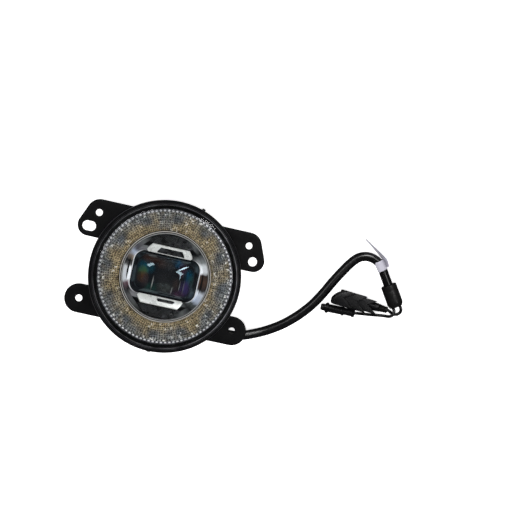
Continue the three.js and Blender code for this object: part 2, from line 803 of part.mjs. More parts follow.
// Main two-way plug, drawn along X from its mating face to its boot.
function mainPlug() {
  const group = turnedGroup(PLUG_HEADING, ...PLUG_FRONT, 0);
  const ways = [3.4, 7.8];
  const neckStart = 22;
  const shell = join(
    firstCollar(5, 1.5, 0.1, PLUG_TOP - 0.1),
    collar(5.6, 14.6, 1.35, 5.8, 5.3, 0.3, 12.3),
    collar(12, 23, 1.6, 4.4, 4.2, 0.6, 10.6),
    rod(3, BOOT_START - GAP - neckStart, neckStart, 20).translate(0, 0, PLUG_AXIS_Z),
  );
  const mouth = block(10, 5, 9, 2.6, MOUTH_Y, 1.1);
  const room = [[-2, -9], ...notchedRear(5.1, 1.5, 8, 8), [-2, 8]];
  const latchRoom = plugPlate(room, PLUG_TOP - PLUG_CHAMFER, 8);
  const bores = ways.map((z) => rod(1.2, 14.5, 7, 12).translate(0, MOUTH_Y, z));
  add("plug_housing", cut(shell, mouth, latchRoom, ...bores), materials.plastic, group);
  const boot = cut(
    rod(3, BOOT_END - BOOT_START, BOOT_START, SMALL, 2.2),
    rod(LEAD_R + 0.6, 12, BOOT_START + 1.2, 16),
  );
  add("plug_boot", boot.translate(0, 0, PLUG_AXIS_Z), materials.rubber, group);
  const lockHoles = ways.map((z) => block(9, 2, 2, 3, MOUTH_Y, z - 1));
  const lock = cut(block(3.8, 4.4, 8.4, 3.4, MOUTH_Y, 1.4), ...lockHoles);
  add("plug_lock", lock, materials.plastic, group);
  ways.forEach((z, i) => {
    add("plug_contact_" + (i + 1), rod(0.9, 13, 8, 12).translate(0, MOUTH_Y, z), materials.brass, group);
  });
  latch(group);
}

// Thumb latch on the first collar: the lever, the web it rocks on, and an arm with the hook at the front.
function latch(group) {
  const [pivotX, pivotZ] = LATCH_PIVOT;
  const hookY = -2.9;
  const lever = firstCollar(4.6, 1.5, LATCH_BACK, 2.1);
  const web = block(1.6, 4.4, 1.2, pivotX, -1.4, pivotZ - 0.3);
  const arm = block(3, 2.8, 1.8, 0.7, hookY, LATCH_BACK + 0.1);
  const hook = block(0.8, 2.8, 3, -0.7, hookY, 11);
  add("plug_latch", join(lever, web, arm, hook), materials.plastic, group);
}

// Slim round plug for the halo ring, drawn along X from its tip.
function slimPlug() {
  const group = turnedGroup(SLIM_HEADING, ...SLIM_FRONT, SLIM_AXIS_Z);
  const shell = join(
    rod(2.4, 2.6, 1.2, SMALL),
    rod(2.9, 12.4, 3, SMALL),
    rod(2.2, 9.6, 14.6, SMALL),
    rod(3.7, 1.6, 3.6, SMALL),
    rod(3.2, 1.4, 15.2, SMALL),
    rod(2.6, 1.6, 22.6, SMALL),
  );
  add("halo_plug_body", cut(shell, rod(SLIM_BORE_R, 28, -1, 10)), materials.plastic, group);
  const seal = cut(rod(2.2, 0.8, 0.1), rod(SLIM_BORE_R, 6, -1));
  add("halo_plug_seal", seal, materials.rubber, group);
  add("halo_plug_contact", rod(0.9, 11, 1.2, 12), materials.brass, group);
}

heatSinkHousing();
frontBezel();
outerLens();
haloRing();
innerBezel();
projectorLens();
projectorInside();
electronics();
gland();
breatherVent();
bracket("bracket_right", 1);
bracket("bracket_left", -1);
bracketScrews();
internalLeads();
cordage();
inlineSleeve();
flagLabel();
mainPlug();
slimPlug();

export default lamp;
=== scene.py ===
"""Looks of a round LED fog light on its side brackets, with its tail of cable and two plugs.

The lamp lies on its heat sink with its lens up. Lengths are in millimetres until a mesh or curve is made.
"""

import json
import math

import bmesh
import bpy
from mathutils import Matrix, Vector


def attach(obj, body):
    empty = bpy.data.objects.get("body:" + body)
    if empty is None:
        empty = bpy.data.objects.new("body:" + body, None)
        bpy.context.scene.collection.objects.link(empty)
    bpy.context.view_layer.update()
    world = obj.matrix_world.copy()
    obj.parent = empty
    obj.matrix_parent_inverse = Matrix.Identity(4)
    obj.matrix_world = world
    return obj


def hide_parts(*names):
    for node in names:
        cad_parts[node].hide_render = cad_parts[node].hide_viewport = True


MM = 0.001

# Camera: a metre from the lamp's face, a little left of and above its axis in the picture, and rolled.
CAMERA_DISTANCE = 1.0
CAMERA_LEFT = math.radians(2.6)
CAMERA_UP = math.radians(3.0)
CAMERA_ROLL = math.radians(12.5)
CAMERA_AIM = Vector((0.0566, 0.0265, 0.050))
CAMERA_LENS = 105.34
LAMP_FACE = Vector((0.0, 0.0, 0.050))

# Lamp.
WINDOW = (44.6, 28.6, 7.0)
LENS_SIZE = (43.4, 27.4, 6.4)
HALO_CELLS = 150
HALO_ROWS = 8
HALO_INNER_R = 30.9
HALO_OUTER_R = 43.1
HALO_LED_R = 38.5
HALO_LEDS = 12
BEADS = 100

CABLE_R = 3.3
LEAD_R = 1.1
SLEEVE_PLACE = (158.0, 26.2, 5.65)
SLEEVE_HEADING = -57.0
PLUG_PLACE = (121.5, 11.08, 0.0)
PLUG_HEADING = -3.5
PLUG_AXIS_Z = 5
PLUG_CHAMFER = 0.7
BOOT_START = 33.4
MOUTH_Y = -1.6
SLIM_PLACE = (114.6, 1.0, 3.75)
SLIM_HEADING = 1.05
LABEL_PLACE = (150.6, 37.3, 4.85)
LABEL_HEADING = -52.0
CABLE_LENGTH = 0.167
SLIM_LEAD_LENGTH = 0.049
PLUG_LEAD_LENGTH = 0.0305

CABLE_ROUTE = [
    (38.87, -24.76, 11),
    (42.4, -27, 10.8),
    (46, -29.1, 10.3),
    (49.8, -30.7, 9.6),
    (53.8, -31.6, 8.7),
    (59.5, -31.5, 7.3),
    (65.7, -30, 5.9),
    (71.7, -27.8, 4.7),
    (77.7, -25.1, 3.9),
    (84, -21.6, 3.5),
    (90, -17.6, 3.4),
    (96, -12.6, 3.4),
    (102, -6.6, 3.4),
    (108.2, 1, 3.4),
    (113.9, 10.2, 3.4),
    (119, 19.8, 3.4),
    (124.2, 28.7, 3.4),
    (129.5, 36.5, 3.4),
    (133.1, 40.2, 3.5),
    (137.1, 42.1, 3.7),
    (140.85, 42.5, 3.9),
    (144.8, 41.7, 4.2),
    (148.3, 39.8, 4.5),
    (150.8, 37.2, 4.8),
    (154, 32.2, 5.2),
    (157, 27.6, 5.5),
    (160.2, 22.8, 5.65),
]
HALO_LEAD_ROUTE = [
    (159.72, 18.97, 5.65),
    (161.9, 15.61, 5.65),
    (163.53, 13.1, 5.65),
    (164.95, 10.92, 6),
    (165.9, 8.9, 6.9),
    (165.7, 6.85, 7.4),
    (164.6, 5.2, 7),
    (162.8, 4.4, 5.9),
    (160.6, 4.2, 4.7),
    (158, 3.9, 3.5),
    (155, 3.4, 2.5),
    (151.8, 2.9, 1.8),
    (148.4, 2.45, 1.4),
    (145.4, 2.15, 1.6),
    (143.2, 1.95, 2.3),
    (141, 1.75, 3.3),
    (138.9, 1.55, 3.7),
    (136.5, 1.4, 3.75),
    (133.6, 1.35, 3.75),
]
PLUG_LEAD_ROUTE = [
    (163.91, 21.69, 5.65),
    (166.09, 18.33, 5.65),
    (167.73, 15.82, 5.65),
    (169.15, 13.64, 5.65),
    (170.5, 11.6, 5.7),
    (170.7, 9.4, 5.5),
    (169.4, 7.6, 5),
    (167.4, 6.85, 4.5),
    (165.4, 7.05, 4.3),
    (163.9, 7.75, 4.5),
    (162.3, 8.4, 4.9),
    (160.2, 8.7, 5),
    (156.8, 8.92, 5),
]

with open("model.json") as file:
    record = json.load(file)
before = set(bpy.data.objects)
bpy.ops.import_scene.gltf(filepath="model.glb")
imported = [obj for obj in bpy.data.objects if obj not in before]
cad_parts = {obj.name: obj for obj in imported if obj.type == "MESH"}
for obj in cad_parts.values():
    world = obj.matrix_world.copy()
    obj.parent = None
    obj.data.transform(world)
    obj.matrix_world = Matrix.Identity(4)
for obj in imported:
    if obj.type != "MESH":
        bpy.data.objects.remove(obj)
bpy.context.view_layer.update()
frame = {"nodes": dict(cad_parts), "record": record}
scene = bpy.context.scene


# --- Camera and cord curves ----------------------------------------------------------------------


def aimed(obj, place, direction, right):
    """Puts obj at place, looking along direction, with its X axis as near to right as can be."""
    forward = direction.normalized()
    across = (right - right.dot(forward) * forward).normalized()
    up = across.cross(forward)
    turned = Matrix((across, up, -forward)).transposed()
    obj.matrix_world = Matrix.Translation(place) @ turned.to_4x4()


IMAGE_RIGHT = Vector((math.cos(CAMERA_ROLL), math.sin(CAMERA_ROLL), 0.0))
IMAGE_UP = Vector((-math.sin(CAMERA_ROLL), math.cos(CAMERA_ROLL), 0.0))


def make_camera():
    data = bpy.data.cameras.new("camera")
    data.lens = CAMERA_LENS
    data.sensor_width = 36.0
    data.clip_start = 0.05
    data.clip_end = 20.0
    camera = bpy.data.objects.new("camera", data)
    scene.collection.objects.link(camera)
    upwards = Vector((0.0, 0.0, 1.0))
    sight = upwards - math.tan(CAMERA_LEFT) * IMAGE_RIGHT + math.tan(CAMERA_UP) * IMAGE_UP
    place = LAMP_FACE + CAMERA_DISTANCE * sight.normalized()
    aimed(camera, place, CAMERA_AIM - place, IMAGE_RIGHT)
    scene.camera = camera


def cord_curve(name, route, radius):
    data = bpy.data.curves.new(name, "CURVE")
    data.dimensions = "3D"
    data.bevel_depth = radius * MM
    data.bevel_resolution = 6
    data.resolution_u = 10
    data.use_fill_caps = True
    spline = data.splines.new("BEZIER")
    spline.bezier_points.add(len(route) - 1)
    for point, place in zip(spline.bezier_points, route):
        point.co = Vector(place) * MM
        point.handle_left_type = "AUTO"
        point.handle_right_type = "AUTO"
    obj = bpy.data.objects.new(name, data)
    scene.collection.objects.link(obj)
    return obj


# --- Meshes --------------------------------------------------------------------------------------


def joined(*parts):
    """Several (corners, faces) as one."""
    corners, faces = [], []
    for part_corners, part_faces in parts:
        shift = len(corners)
        corners += list(part_corners)
        faces += [tuple(i + shift for i in face) for face in part_faces]
    return corners, faces


def moved(part, matrix):
    corners, faces = part
    return [matrix @ Vector(c) for c in corners], faces


def turned_to(heading, place):
    """Matrix for a piece that is drawn along X: turned by heading about Z and put at place."""
    return Matrix.Translation(Vector(place)) @ Matrix.Rotation(math.radians(heading), 4, "Z")


ALONG_X = Matrix.Rotation(math.radians(90), 4, "Y")


def lathe(profile, steps=160):
    """The closed loop, or the line from axis to axis, of (radius, height) turned about Z."""
    corners, rings = [], []
    for radius, height in profile:
        if radius < 1e-6:
            rings.append([len(corners)])
            corners.append(Vector((0.0, 0.0, height)))
            continue
        rings.append(list(range(len(corners), len(corners) + steps)))
        for i in range(steps):
            angle = 2 * math.pi * i / steps
            corners.append(Vector((radius * math.cos(angle), radius * math.sin(angle), height)))
    faces = []
    open_line = len(rings[0]) == 1 and len(rings[-1]) == 1
    pairs = list(zip(rings, rings[1:])) + ([] if open_line else [(rings[-1], rings[0])])
    for low, high in pairs:
        for i in range(steps):
            j = (i + 1) % steps
            if len(low) == 1 and len(high) == 1:
                continue
            if len(low) == 1:
                faces.append((low[0], high[i], high[j]))
            elif len(high) == 1:
                faces.append((low[i], low[j], high[0]))
            else:
                faces.append((low[i], low[j], high[j], high[i]))
    return corners, faces


def arc(x, y, radius, start, end, steps):
    """Points on an arc from start to end, in degrees, both ends included."""
    found = []
    for i in range(steps + 1):
        angle = math.radians(start + (end - start) * i / steps)
        found.append((x + radius * math.cos(angle), y + radius * math.sin(angle)))
    return found


def rounded_rect(width, height, radius, steps=10):
    x, y = width / 2 - radius, height / 2 - radius
    return (
        arc(x, y, radius, 0, 90, steps)
        + arc(-x, y, radius, 90, 180, steps)
        + arc(-x, -y, radius, 180, 270, steps)
        + arc(x, -y, radius, 270, 360, steps)
    )


def offset(loop, distance):
    """The loop moved outwards by distance, for a loop that runs anticlockwise, with mitred corners."""
    found = []
    for i, here in enumerate(loop):
        before = Vector(loop[i - 1])
        after = Vector(loop[(i + 1) % len(loop)])
        here = Vector(here)
        one = (here - before).normalized()
        two = (after - here).normalized()
        normal = Vector((one.y + two.y, -one.x - two.x))
        if normal.length < 1e-6:
            found.append(tuple(here))
            continue
        normal.normalize()
        along = max(0.35, normal.dot(Vector((one.y, -one.x))))
        found.append(tuple(here + normal * distance / along))
    return found


def slab(outline, low, high, bevel, holes=(), rounding=3, fall=None):
    """A plate from low to high with rounded edges, or with chamfers if rounding is 1. The edges are bevel
    wide and fall high. outline runs anticlockwise and each hole clockwise."""
    corners, faces = [], []
    caps = ([], [])
    fall = bevel if fall is None else fall
    lower = []
    for i in range(rounding, -1, -1):
        angle = math.pi / 2 * i / rounding
        lower.append((low + fall * (1 - math.sin(angle)), -bevel * (1 - math.cos(angle))))
    upper = [(high + low - z, inset) for z, inset in reversed(lower)]
    for loop in [outline, *holes]:
        rings = []
        for z, inset in lower + upper:
            ring = list(range(len(corners), len(corners) + len(loop)))
            corners += [Vector((x, y, z)) for x, y in offset(loop, inset)]
            rings.append(ring)
        for one, two in zip(rings, rings[1:]):
            for i in range(len(loop)):
                j = (i + 1) % len(loop)
                faces.append((one[i], one[j], two[j], two[i]))
        caps[0].append(rings[0])
        caps[1].append(rings[-1])
    for rings in caps:
        faces += capped(corners, rings)
    return corners, faces


def capped(corners, rings):
    """Triangles that fill the flat area between one outer ring and the holes in it."""
    bm = bmesh.new()
    known = {}
    for ring in rings:
        made = [bm.verts.new(corners[i]) for i in ring]
        for vert, i in zip(made, ring):
            known[vert] = i
        for i, vert in enumerate(made):
            bm.edges.new((vert, made[(i + 1) % len(made)]))
    bmesh.ops.triangle_fill(bm, use_beauty=True, use_dissolve=False, edges=bm.edges[:])
    found = [tuple(known[v] for v in face.verts) for face in bm.faces]
    bm.free()
    return found


def mesh_of(name, part):
    """A mesh in metres of a (corners, faces) part, with its faces turned outwards."""
    corners, faces = part
    mesh = bpy.data.meshes.new(name)
    mesh.from_pydata([Vector(c) * MM for c in corners], [], faces)
    bm = bmesh.new()
    bm.from_mesh(mesh)
    bmesh.ops.remove_doubles(bm, verts=bm.verts[:], dist=1e-7)
    bmesh.ops.recalc_face_normals(bm, faces=bm.faces[:])
    bm.to_mesh(mesh)
    bm.free()
    return mesh


def carved(name, mesh, cutter):
    """The mesh with the volume of the cutter, a (corners, faces) part, taken away."""
    whole = bpy.data.objects.new(name + "_whole", mesh)
    tool = bpy.data.objects.new(name + "_tool", mesh_of(name + "_tool", cutter))
    for obj in (whole, tool):
        scene.collection.objects.link(obj)
    step = whole.modifiers.new("carve", "BOOLEAN")
    step.operation = "DIFFERENCE"
    step.solver = "EXACT"
    step.use_self = True
    step.object = tool
    bpy.context.view_layer.update()
    found = bpy.data.meshes.new_from_object(whole.evaluated_get(bpy.context.evaluated_depsgraph_get()))
    for obj in (whole, tool):
        bpy.data.objects.remove(obj)
    return found


def piece(name, part, material, slot, body="lamp", replaces=(), sharp=35.0, cutter=None):
    """Makes the object of a (corners, faces) part."""
    mesh = mesh_of(name, part)
    if cutter:
        mesh = carved(name, mesh, cutter)
        mesh.name = name
    mesh.materials.clear()
    mesh.shade_smooth()
    mesh.set_sharp_from_angle(angle=math.radians(sharp))
    mesh.materials.append(material)
    obj = bpy.data.objects.new(name, mesh)
    scene.collection.objects.link(obj)
    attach(obj, body)
    if replaces:
        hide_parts(*replaces)
    return obj


# --- Materials -----------------------------------------------------------------------------------


def wire(tree, kind, inputs, **settings):
    """A new node of that kind, with its settings and its inputs, each a value or a socket to link."""
    node = tree.nodes.new(kind)
    for key, value in settings.items():
        setattr(node, key, value)
    for key, value in inputs.items():
        if isinstance(value, bpy.types.NodeSocket):
            tree.links.new(value, node.inputs[key])
        else:
            node.inputs[key].default_value = value
    return node


def maths(tree, operation, one, two=0.0, clamp=False):
    return wire(tree, "ShaderNodeMath", {0: one, 1: two}, operation=operation, use_clamp=clamp).outputs[0]


def mixed(tree, factor, one, two, blend="MIX"):
    node = wire(tree, "ShaderNodeMix", {0: factor}, data_type="RGBA", blend_type=blend)
    for socket, value in ((node.inputs[6], one), (node.inputs[7], two)):
        if isinstance(value, bpy.types.NodeSocket):
            tree.links.new(value, socket)
        else:
            socket.default_value = (*value, 1.0)
    return node.outputs[2]


def ranged(tree, value, low, high, to_low, to_high):
    inputs = {0: value, 1: low, 2: high, 3: to_low, 4: to_high}
    return wire(tree, "ShaderNodeMapRange", inputs).outputs[0]


def noise(tree, place, scale, detail=3.0):
    inputs = {"Vector": place, "Scale": scale, "Detail": detail, "Roughness": 0.55}
    return wire(tree, "ShaderNodeTexNoise", inputs).outputs[0]


def object_place(tree):
    return wire(tree, "ShaderNodeTexCoord", {}).outputs["Object"]


def new_material(name):
    made = bpy.data.materials.new(name)
    made.use_nodes = True
    tree = made.node_tree
    return made, tree, tree.nodes["Principled BSDF"]


def finish(
    name,
    colour,
    roughness,
    metallic=0.0,
    mottle=0.12,
    grain=1800.0,
    broad=90.0,
    bump=0.02,
    spread=0.06,
    specular=0.5,
):
    """A procedural finish: fine grain in the bump, broad cloudiness in the colour and the roughness.
    bump is the height of the grain in millimetres."""
    made, tree, shader = new_material(name)
    place = object_place(tree)
    cloud = noise(tree, place, broad)
    fine = noise(tree, place, grain, 2.0)
    dark = [c * (1 - mottle) for c in colour]
    light = [min(1.0, c * (1 + mottle)) for c in colour]
    both = maths(tree, "ADD", maths(tree, "MULTIPLY", cloud, 0.6), maths(tree, "MULTIPLY", fine, 0.4))
    tint = mixed(tree, ranged(tree, both, 0.35, 0.65, 0.0, 1.0), dark, light)
    tree.links.new(tint, shader.inputs["Base Color"])
    rough = ranged(tree, cloud, 0.3, 0.7, max(0.02, roughness - spread), roughness + spread)
    tree.links.new(rough, shader.inputs["Roughness"])
    shader.inputs["Metallic"].default_value = metallic
    shader.inputs["Specular IOR Level"].default_value = specular
    relief = wire(tree, "ShaderNodeBump", {"Strength": 1.0, "Distance": bump * MM, "Height": fine})
    tree.links.new(relief.outputs[0], shader.inputs["Normal"])
    return made


def polar(tree, place):
    """Radius in metres and angle in turns, from 0 to 1, of a place in the plane of the lamp."""
    x, y, _ = wire(tree, "ShaderNodeSeparateXYZ", {0: place}).outputs
    squares = maths(tree, "ADD", maths(tree, "MULTIPLY", x, x), maths(tree, "MULTIPLY", y, y))
    radius = maths(tree, "SQRT", squares)
    turn = maths(tree, "ADD", maths(tree, "DIVIDE", maths(tree, "ARCTAN2", y, x), 2 * math.pi), 0.5)
    return radius, turn


def ramp(tree, value, stops):
    """A colour for a value from 0 to 1, blended between the stops, each a place and a colour."""
    node = wire(tree, "ShaderNodeValToRGB", {0: value})
    slots = node.color_ramp.elements
    while len(slots) < len(stops):
        slots.new(1.0)
    for slot, (place, colour) in zip(slots, stops):
        slot.position = place
        slot.color = (*colour, 1.0)
    return node.outputs[0]


def halo_finish():
    """Clear plastic in small cells over LEDs: each cell has painted highlights on its edges round a dark
    middle and its own brightness, painted glints, painted shade between the LEDs, and the colour drifts
    between olive brown and blue grey."""
    made, tree, shader = new_material("halo_cells")
    place = object_place(tree)
    radius, turn = polar(tree, place)
    wobble = maths(tree, "MULTIPLY", maths(tree, "SUBTRACT", noise(tree, place, 420.0, 1.0), 0.5), 1.3)
    rows = HALO_ROWS / ((HALO_OUTER_R - HALO_INNER_R) * MM)
    row = maths(tree, "MULTIPLY", maths(tree, "SUBTRACT", radius, HALO_INNER_R * MM), rows)
    row = maths(tree, "ADD", row, wobble)
    column = maths(tree, "ADD", maths(tree, "MULTIPLY", turn, float(HALO_CELLS)), wobble)
    corners = {0: maths(tree, "FLOOR", row), 1: maths(tree, "FLOOR", column)}
    cell = wire(tree, "ShaderNodeCombineXYZ", corners).outputs[0]
    chance = wire(tree, "ShaderNodeTexWhiteNoise", {"Vector": cell}, noise_dimensions="2D").outputs["Value"]
    away = [
        maths(tree, "ABSOLUTE", maths(tree, "SUBTRACT", maths(tree, "FRACT", part), 0.5))
        for part in (row, column)
    ]
    edge = maths(tree, "MAXIMUM", *away)
    speckle = noise(tree, place, 1300.0, 2.0)
    # Painted highlights along the cell edges, with painted shade in the middle of each cell.
    painted_edge_light = ranged(tree, edge, 0.2, 0.46, 0.1, 0.75)
    painted_edge_lines = maths(tree, "MULTIPLY", painted_edge_light, ranged(tree, speckle, 0.32, 0.68, 0.3, 1.7))
    inwards = ranged(tree, radius, HALO_INNER_R * MM, HALO_OUTER_R * MM, 0.2, -0.16)
    warmth = maths(tree, "ADD", noise(tree, place, 85.0, 2.0), inwards, clamp=True)
    tint = mixed(tree, ranged(tree, warmth, 0.3, 0.62, 0.0, 1.0), (0.25, 0.255, 0.25), (0.43, 0.33, 0.185))
    # Painted shade: darker blue grey between the LEDs, over the ring where they sit.
    beat = maths(tree, "COSINE", maths(tree, "MULTIPLY", turn, 2 * math.pi * HALO_LEDS))
    off_leds = maths(tree, "ABSOLUTE", maths(tree, "SUBTRACT", radius, HALO_LED_R * MM))
    middle = ranged(tree, off_leds, 1 * MM, 4 * MM, 1.0, 0.0)
    shadow = maths(tree, "MULTIPLY", maths(tree, "MULTIPLY", beat, middle), 0.85, clamp=True)
    tint = mixed(tree, shadow, tint, (0.10, 0.115, 0.135))
    shade = maths(tree, "MULTIPLY", painted_edge_lines, ranged(tree, chance, 0.0, 1.0, 0.55, 1.35))
    scaled = wire(tree, "ShaderNodeVectorMath", {0: tint, "Scale": shade}, operation="SCALE").outputs[0]
    # Painted glints: a few cells turned near white, more of them towards the outer edge.
    outwards = ranged(tree, radius, 40.5 * MM, HALO_OUTER_R * MM, 0.0, 0.16)
    glint_cells = ranged(tree, maths(tree, "ADD", chance, outwards), 0.93, 1.0, 0.0, 0.9)
    painted_glint = maths(tree, "MULTIPLY", glint_cells, ranged(tree, speckle, 0.48, 0.6, 0.0, 1.0))
    tree.links.new(mixed(tree, painted_glint, scaled, (0.95, 0.92, 0.86)), shader.inputs["Base Color"])
    shader.inputs["Roughness"].default_value = 0.3
    shader.inputs["Specular IOR Level"].default_value = 0.35
    swell = maths(tree, "SUBTRACT", 0.5, edge)
    inputs = {"Strength": 0.7, "Distance": 0.12 * MM, "Height": swell}
    tree.links.new(wire(tree, "ShaderNodeBump", inputs).outputs[0], shader.inputs["Normal"])
    return made


def bezel_finish():
    """Black plastic with painted highlights: thin lighter rings at its turned edges."""
    made, tree, shader = new_material("bezel_plastic")
    place = object_place(tree)
    radius, _ = polar(tree, place)
    # Noise that breaks up the painted highlight rings.
    glint_breakup = ranged(tree, noise(tree, place, 70.0), 0.35, 0.65, 0.25, 1.0)
    tint = (0.0034, 0.0034, 0.004)
    # Painted highlights: thin lighter rings where the bezel's turned edges catch light.
    painted_glint_rings = [(50.8, 0.22, 0.1), (49.3, 0.12, 0.03), (48.5, 0.16, 0.09), (47.7, 0.24, 0.4)]
    for middle, half, shade in painted_glint_rings:
        away = maths(tree, "ABSOLUTE", maths(tree, "SUBTRACT", radius, middle * MM))
        share = maths(tree, "MULTIPLY", ranged(tree, away, 0.0, half * MM, 1.0, 0.0), glint_breakup)
        tint = mixed(tree, share, tint, (shade, shade, shade * 1.08))
    tree.links.new(tint, shader.inputs["Base Color"])
    rough = ranged(tree, noise(tree, place, 300.0), 0.3, 0.7, 0.28, 0.42)
    tree.links.new(rough, shader.inputs["Roughness"])
    shader.inputs["Specular IOR Level"].default_value = 0.15
    return made


def cup_finish():
    """Bright plated cup: painted reflections in bright and dark zones round the lens, painted highlights on
    rim and lip.
    """
    made, tree, shader = new_material("cup_chrome")
    place = object_place(tree)
    radius, turn = polar(tree, place)
    ripple = maths(tree, "MULTIPLY", maths(tree, "SUBTRACT", noise(tree, place, 260.0, 2.0), 0.5), 0.02)
    dark = (0.02, 0.021, 0.022)
    brown = (0.11, 0.065, 0.045)
    grey = (0.20, 0.21, 0.21)
    white = (0.92, 0.93, 0.95)
    blue = (0.62, 0.68, 0.82)
    # Painted reflections: bright and dark zones by angle round the bowl.
    stops = [
        (0.0, white),
        (0.045, (0.85, 0.87, 0.9)),
        (0.06, (0.16, 0.09, 0.11)),
        (0.085, dark),
        (0.11, (0.17, 0.165, 0.17)),
        (0.15, grey),
        (0.19, dark),
        (0.31, dark),
        (0.355, grey),
        (0.385, dark),
        (0.41, (0.1, 0.11, 0.11)),
        (0.425, blue),
        (0.46, (0.85, 0.88, 0.95)),
        (0.475, (0.035, 0.03, 0.03)),
        (0.51, brown),
        (0.535, (0.05, 0.035, 0.03)),
        (0.55, white),
        (0.575, white),
        (0.59, (0.3, 0.31, 0.31)),
        (0.625, dark),
        (0.66, grey),
        (0.70, dark),
        (0.83, dark),
        (0.87, grey),
        (0.905, (0.12, 0.11, 0.13)),
        (0.925, blue),
        (0.945, (0.3, 0.24, 0.2)),
        (0.965, dark),
        (0.98, (0.1, 0.1, 0.1)),
        (0.99, white),
    ]
    bowl = ramp(tree, maths(tree, "ADD", turn, ripple), stops)
    # Painted highlights on the rim's two crests, the outer one brighter, and painted shade in the valley
    # between them.
    rim = ranged(tree, radius, 28.2 * MM, 28.6 * MM, 0.0, 1.0)
    valley = maths(tree, "ABSOLUTE", maths(tree, "SUBTRACT", radius, 29.45 * MM))
    outer = ranged(tree, radius, 29.0 * MM, 29.8 * MM, 0.0, 1.0)
    crest_highlight = mixed(tree, outer, (0.4, 0.39, 0.38), (0.9, 0.83, 0.76))
    crest_highlight_mask = ranged(tree, valley, 0.28 * MM, 0.52 * MM, 0.0, 1.0)
    rim_highlight_and_shade = mixed(tree, crest_highlight_mask, (0.06, 0.055, 0.05), crest_highlight)
    # Painted highlight on the window's lip, at its left and right sides only.
    across, _, height = wire(tree, "ShaderNodeSeparateXYZ", {0: place}).outputs
    raised = ranged(tree, height, 48.55 * MM, 48.75 * MM, 0.0, 1.0)
    side = ranged(tree, maths(tree, "ABSOLUTE", across), 17.0 * MM, 21.5 * MM, 0.05, 1.0)
    near = maths(tree, "MULTIPLY", side, ranged(tree, radius, 25.3 * MM, 25.5 * MM, 1.0, 0.0))
    inner = mixed(tree, maths(tree, "MULTIPLY", raised, near), bowl, (0.9, 0.9, 0.92))
    tree.links.new(mixed(tree, rim, inner, rim_highlight_and_shade), shader.inputs["Base Color"])
    shader.inputs["Metallic"].default_value = 0.15
    rough = ranged(tree, noise(tree, place, 400.0), 0.3, 0.7, 0.12, 0.26)
    tree.links.new(rough, shader.inputs["Roughness"])
    return made


def clear_finish(name, tint, ior):
    """Thin clear plastic: it mirrors by Fresnel and lets the rest through."""
    made, tree, shader = new_material(name)
    tree.nodes.remove(shader)
    place = object_place(tree)
    haze = noise(tree, place, 60.0)
    see = wire(tree, "ShaderNodeBsdfTransparent", {0: mixed(tree, haze, [c * 0.985 for c in tint], tint)})
    rough = ranged(tree, haze, 0.3, 0.7, 0.015, 0.05)
    gloss = wire(tree, "ShaderNodeBsdfGlossy", {"Color": (1.0, 1.0, 1.0, 1.0), "Roughness": rough})
    share = wire(tree, "ShaderNodeFresnel", {"IOR": ior}).outputs[0]
    both = wire(tree, "ShaderNodeMixShader", {0: share, 1: see.outputs[0], 2: gloss.outputs[0]})
    tree.links.new(both.outputs[0], tree.nodes["Material Output"].inputs["Surface"])
    return made


def glow(tree, place, x, y, width, height):
    """1 at the middle of an upright oval in the plane of the lamp, falling to 0 at its edge."""
    across, along, _ = wire(tree, "ShaderNodeSeparateXYZ", {0: place}).outputs
    one = maths(tree, "DIVIDE", maths(tree, "SUBTRACT", across, x * MM), width * MM)
    two = maths(tree, "DIVIDE", maths(tree, "SUBTRACT", along, y * MM), height * MM)
    far = maths(tree, "ADD", maths(tree, "MULTIPLY", one, one), maths(tree, "MULTIPLY", two, two))
    return maths(tree, "SUBTRACT", 1.0, far, clamp=True)


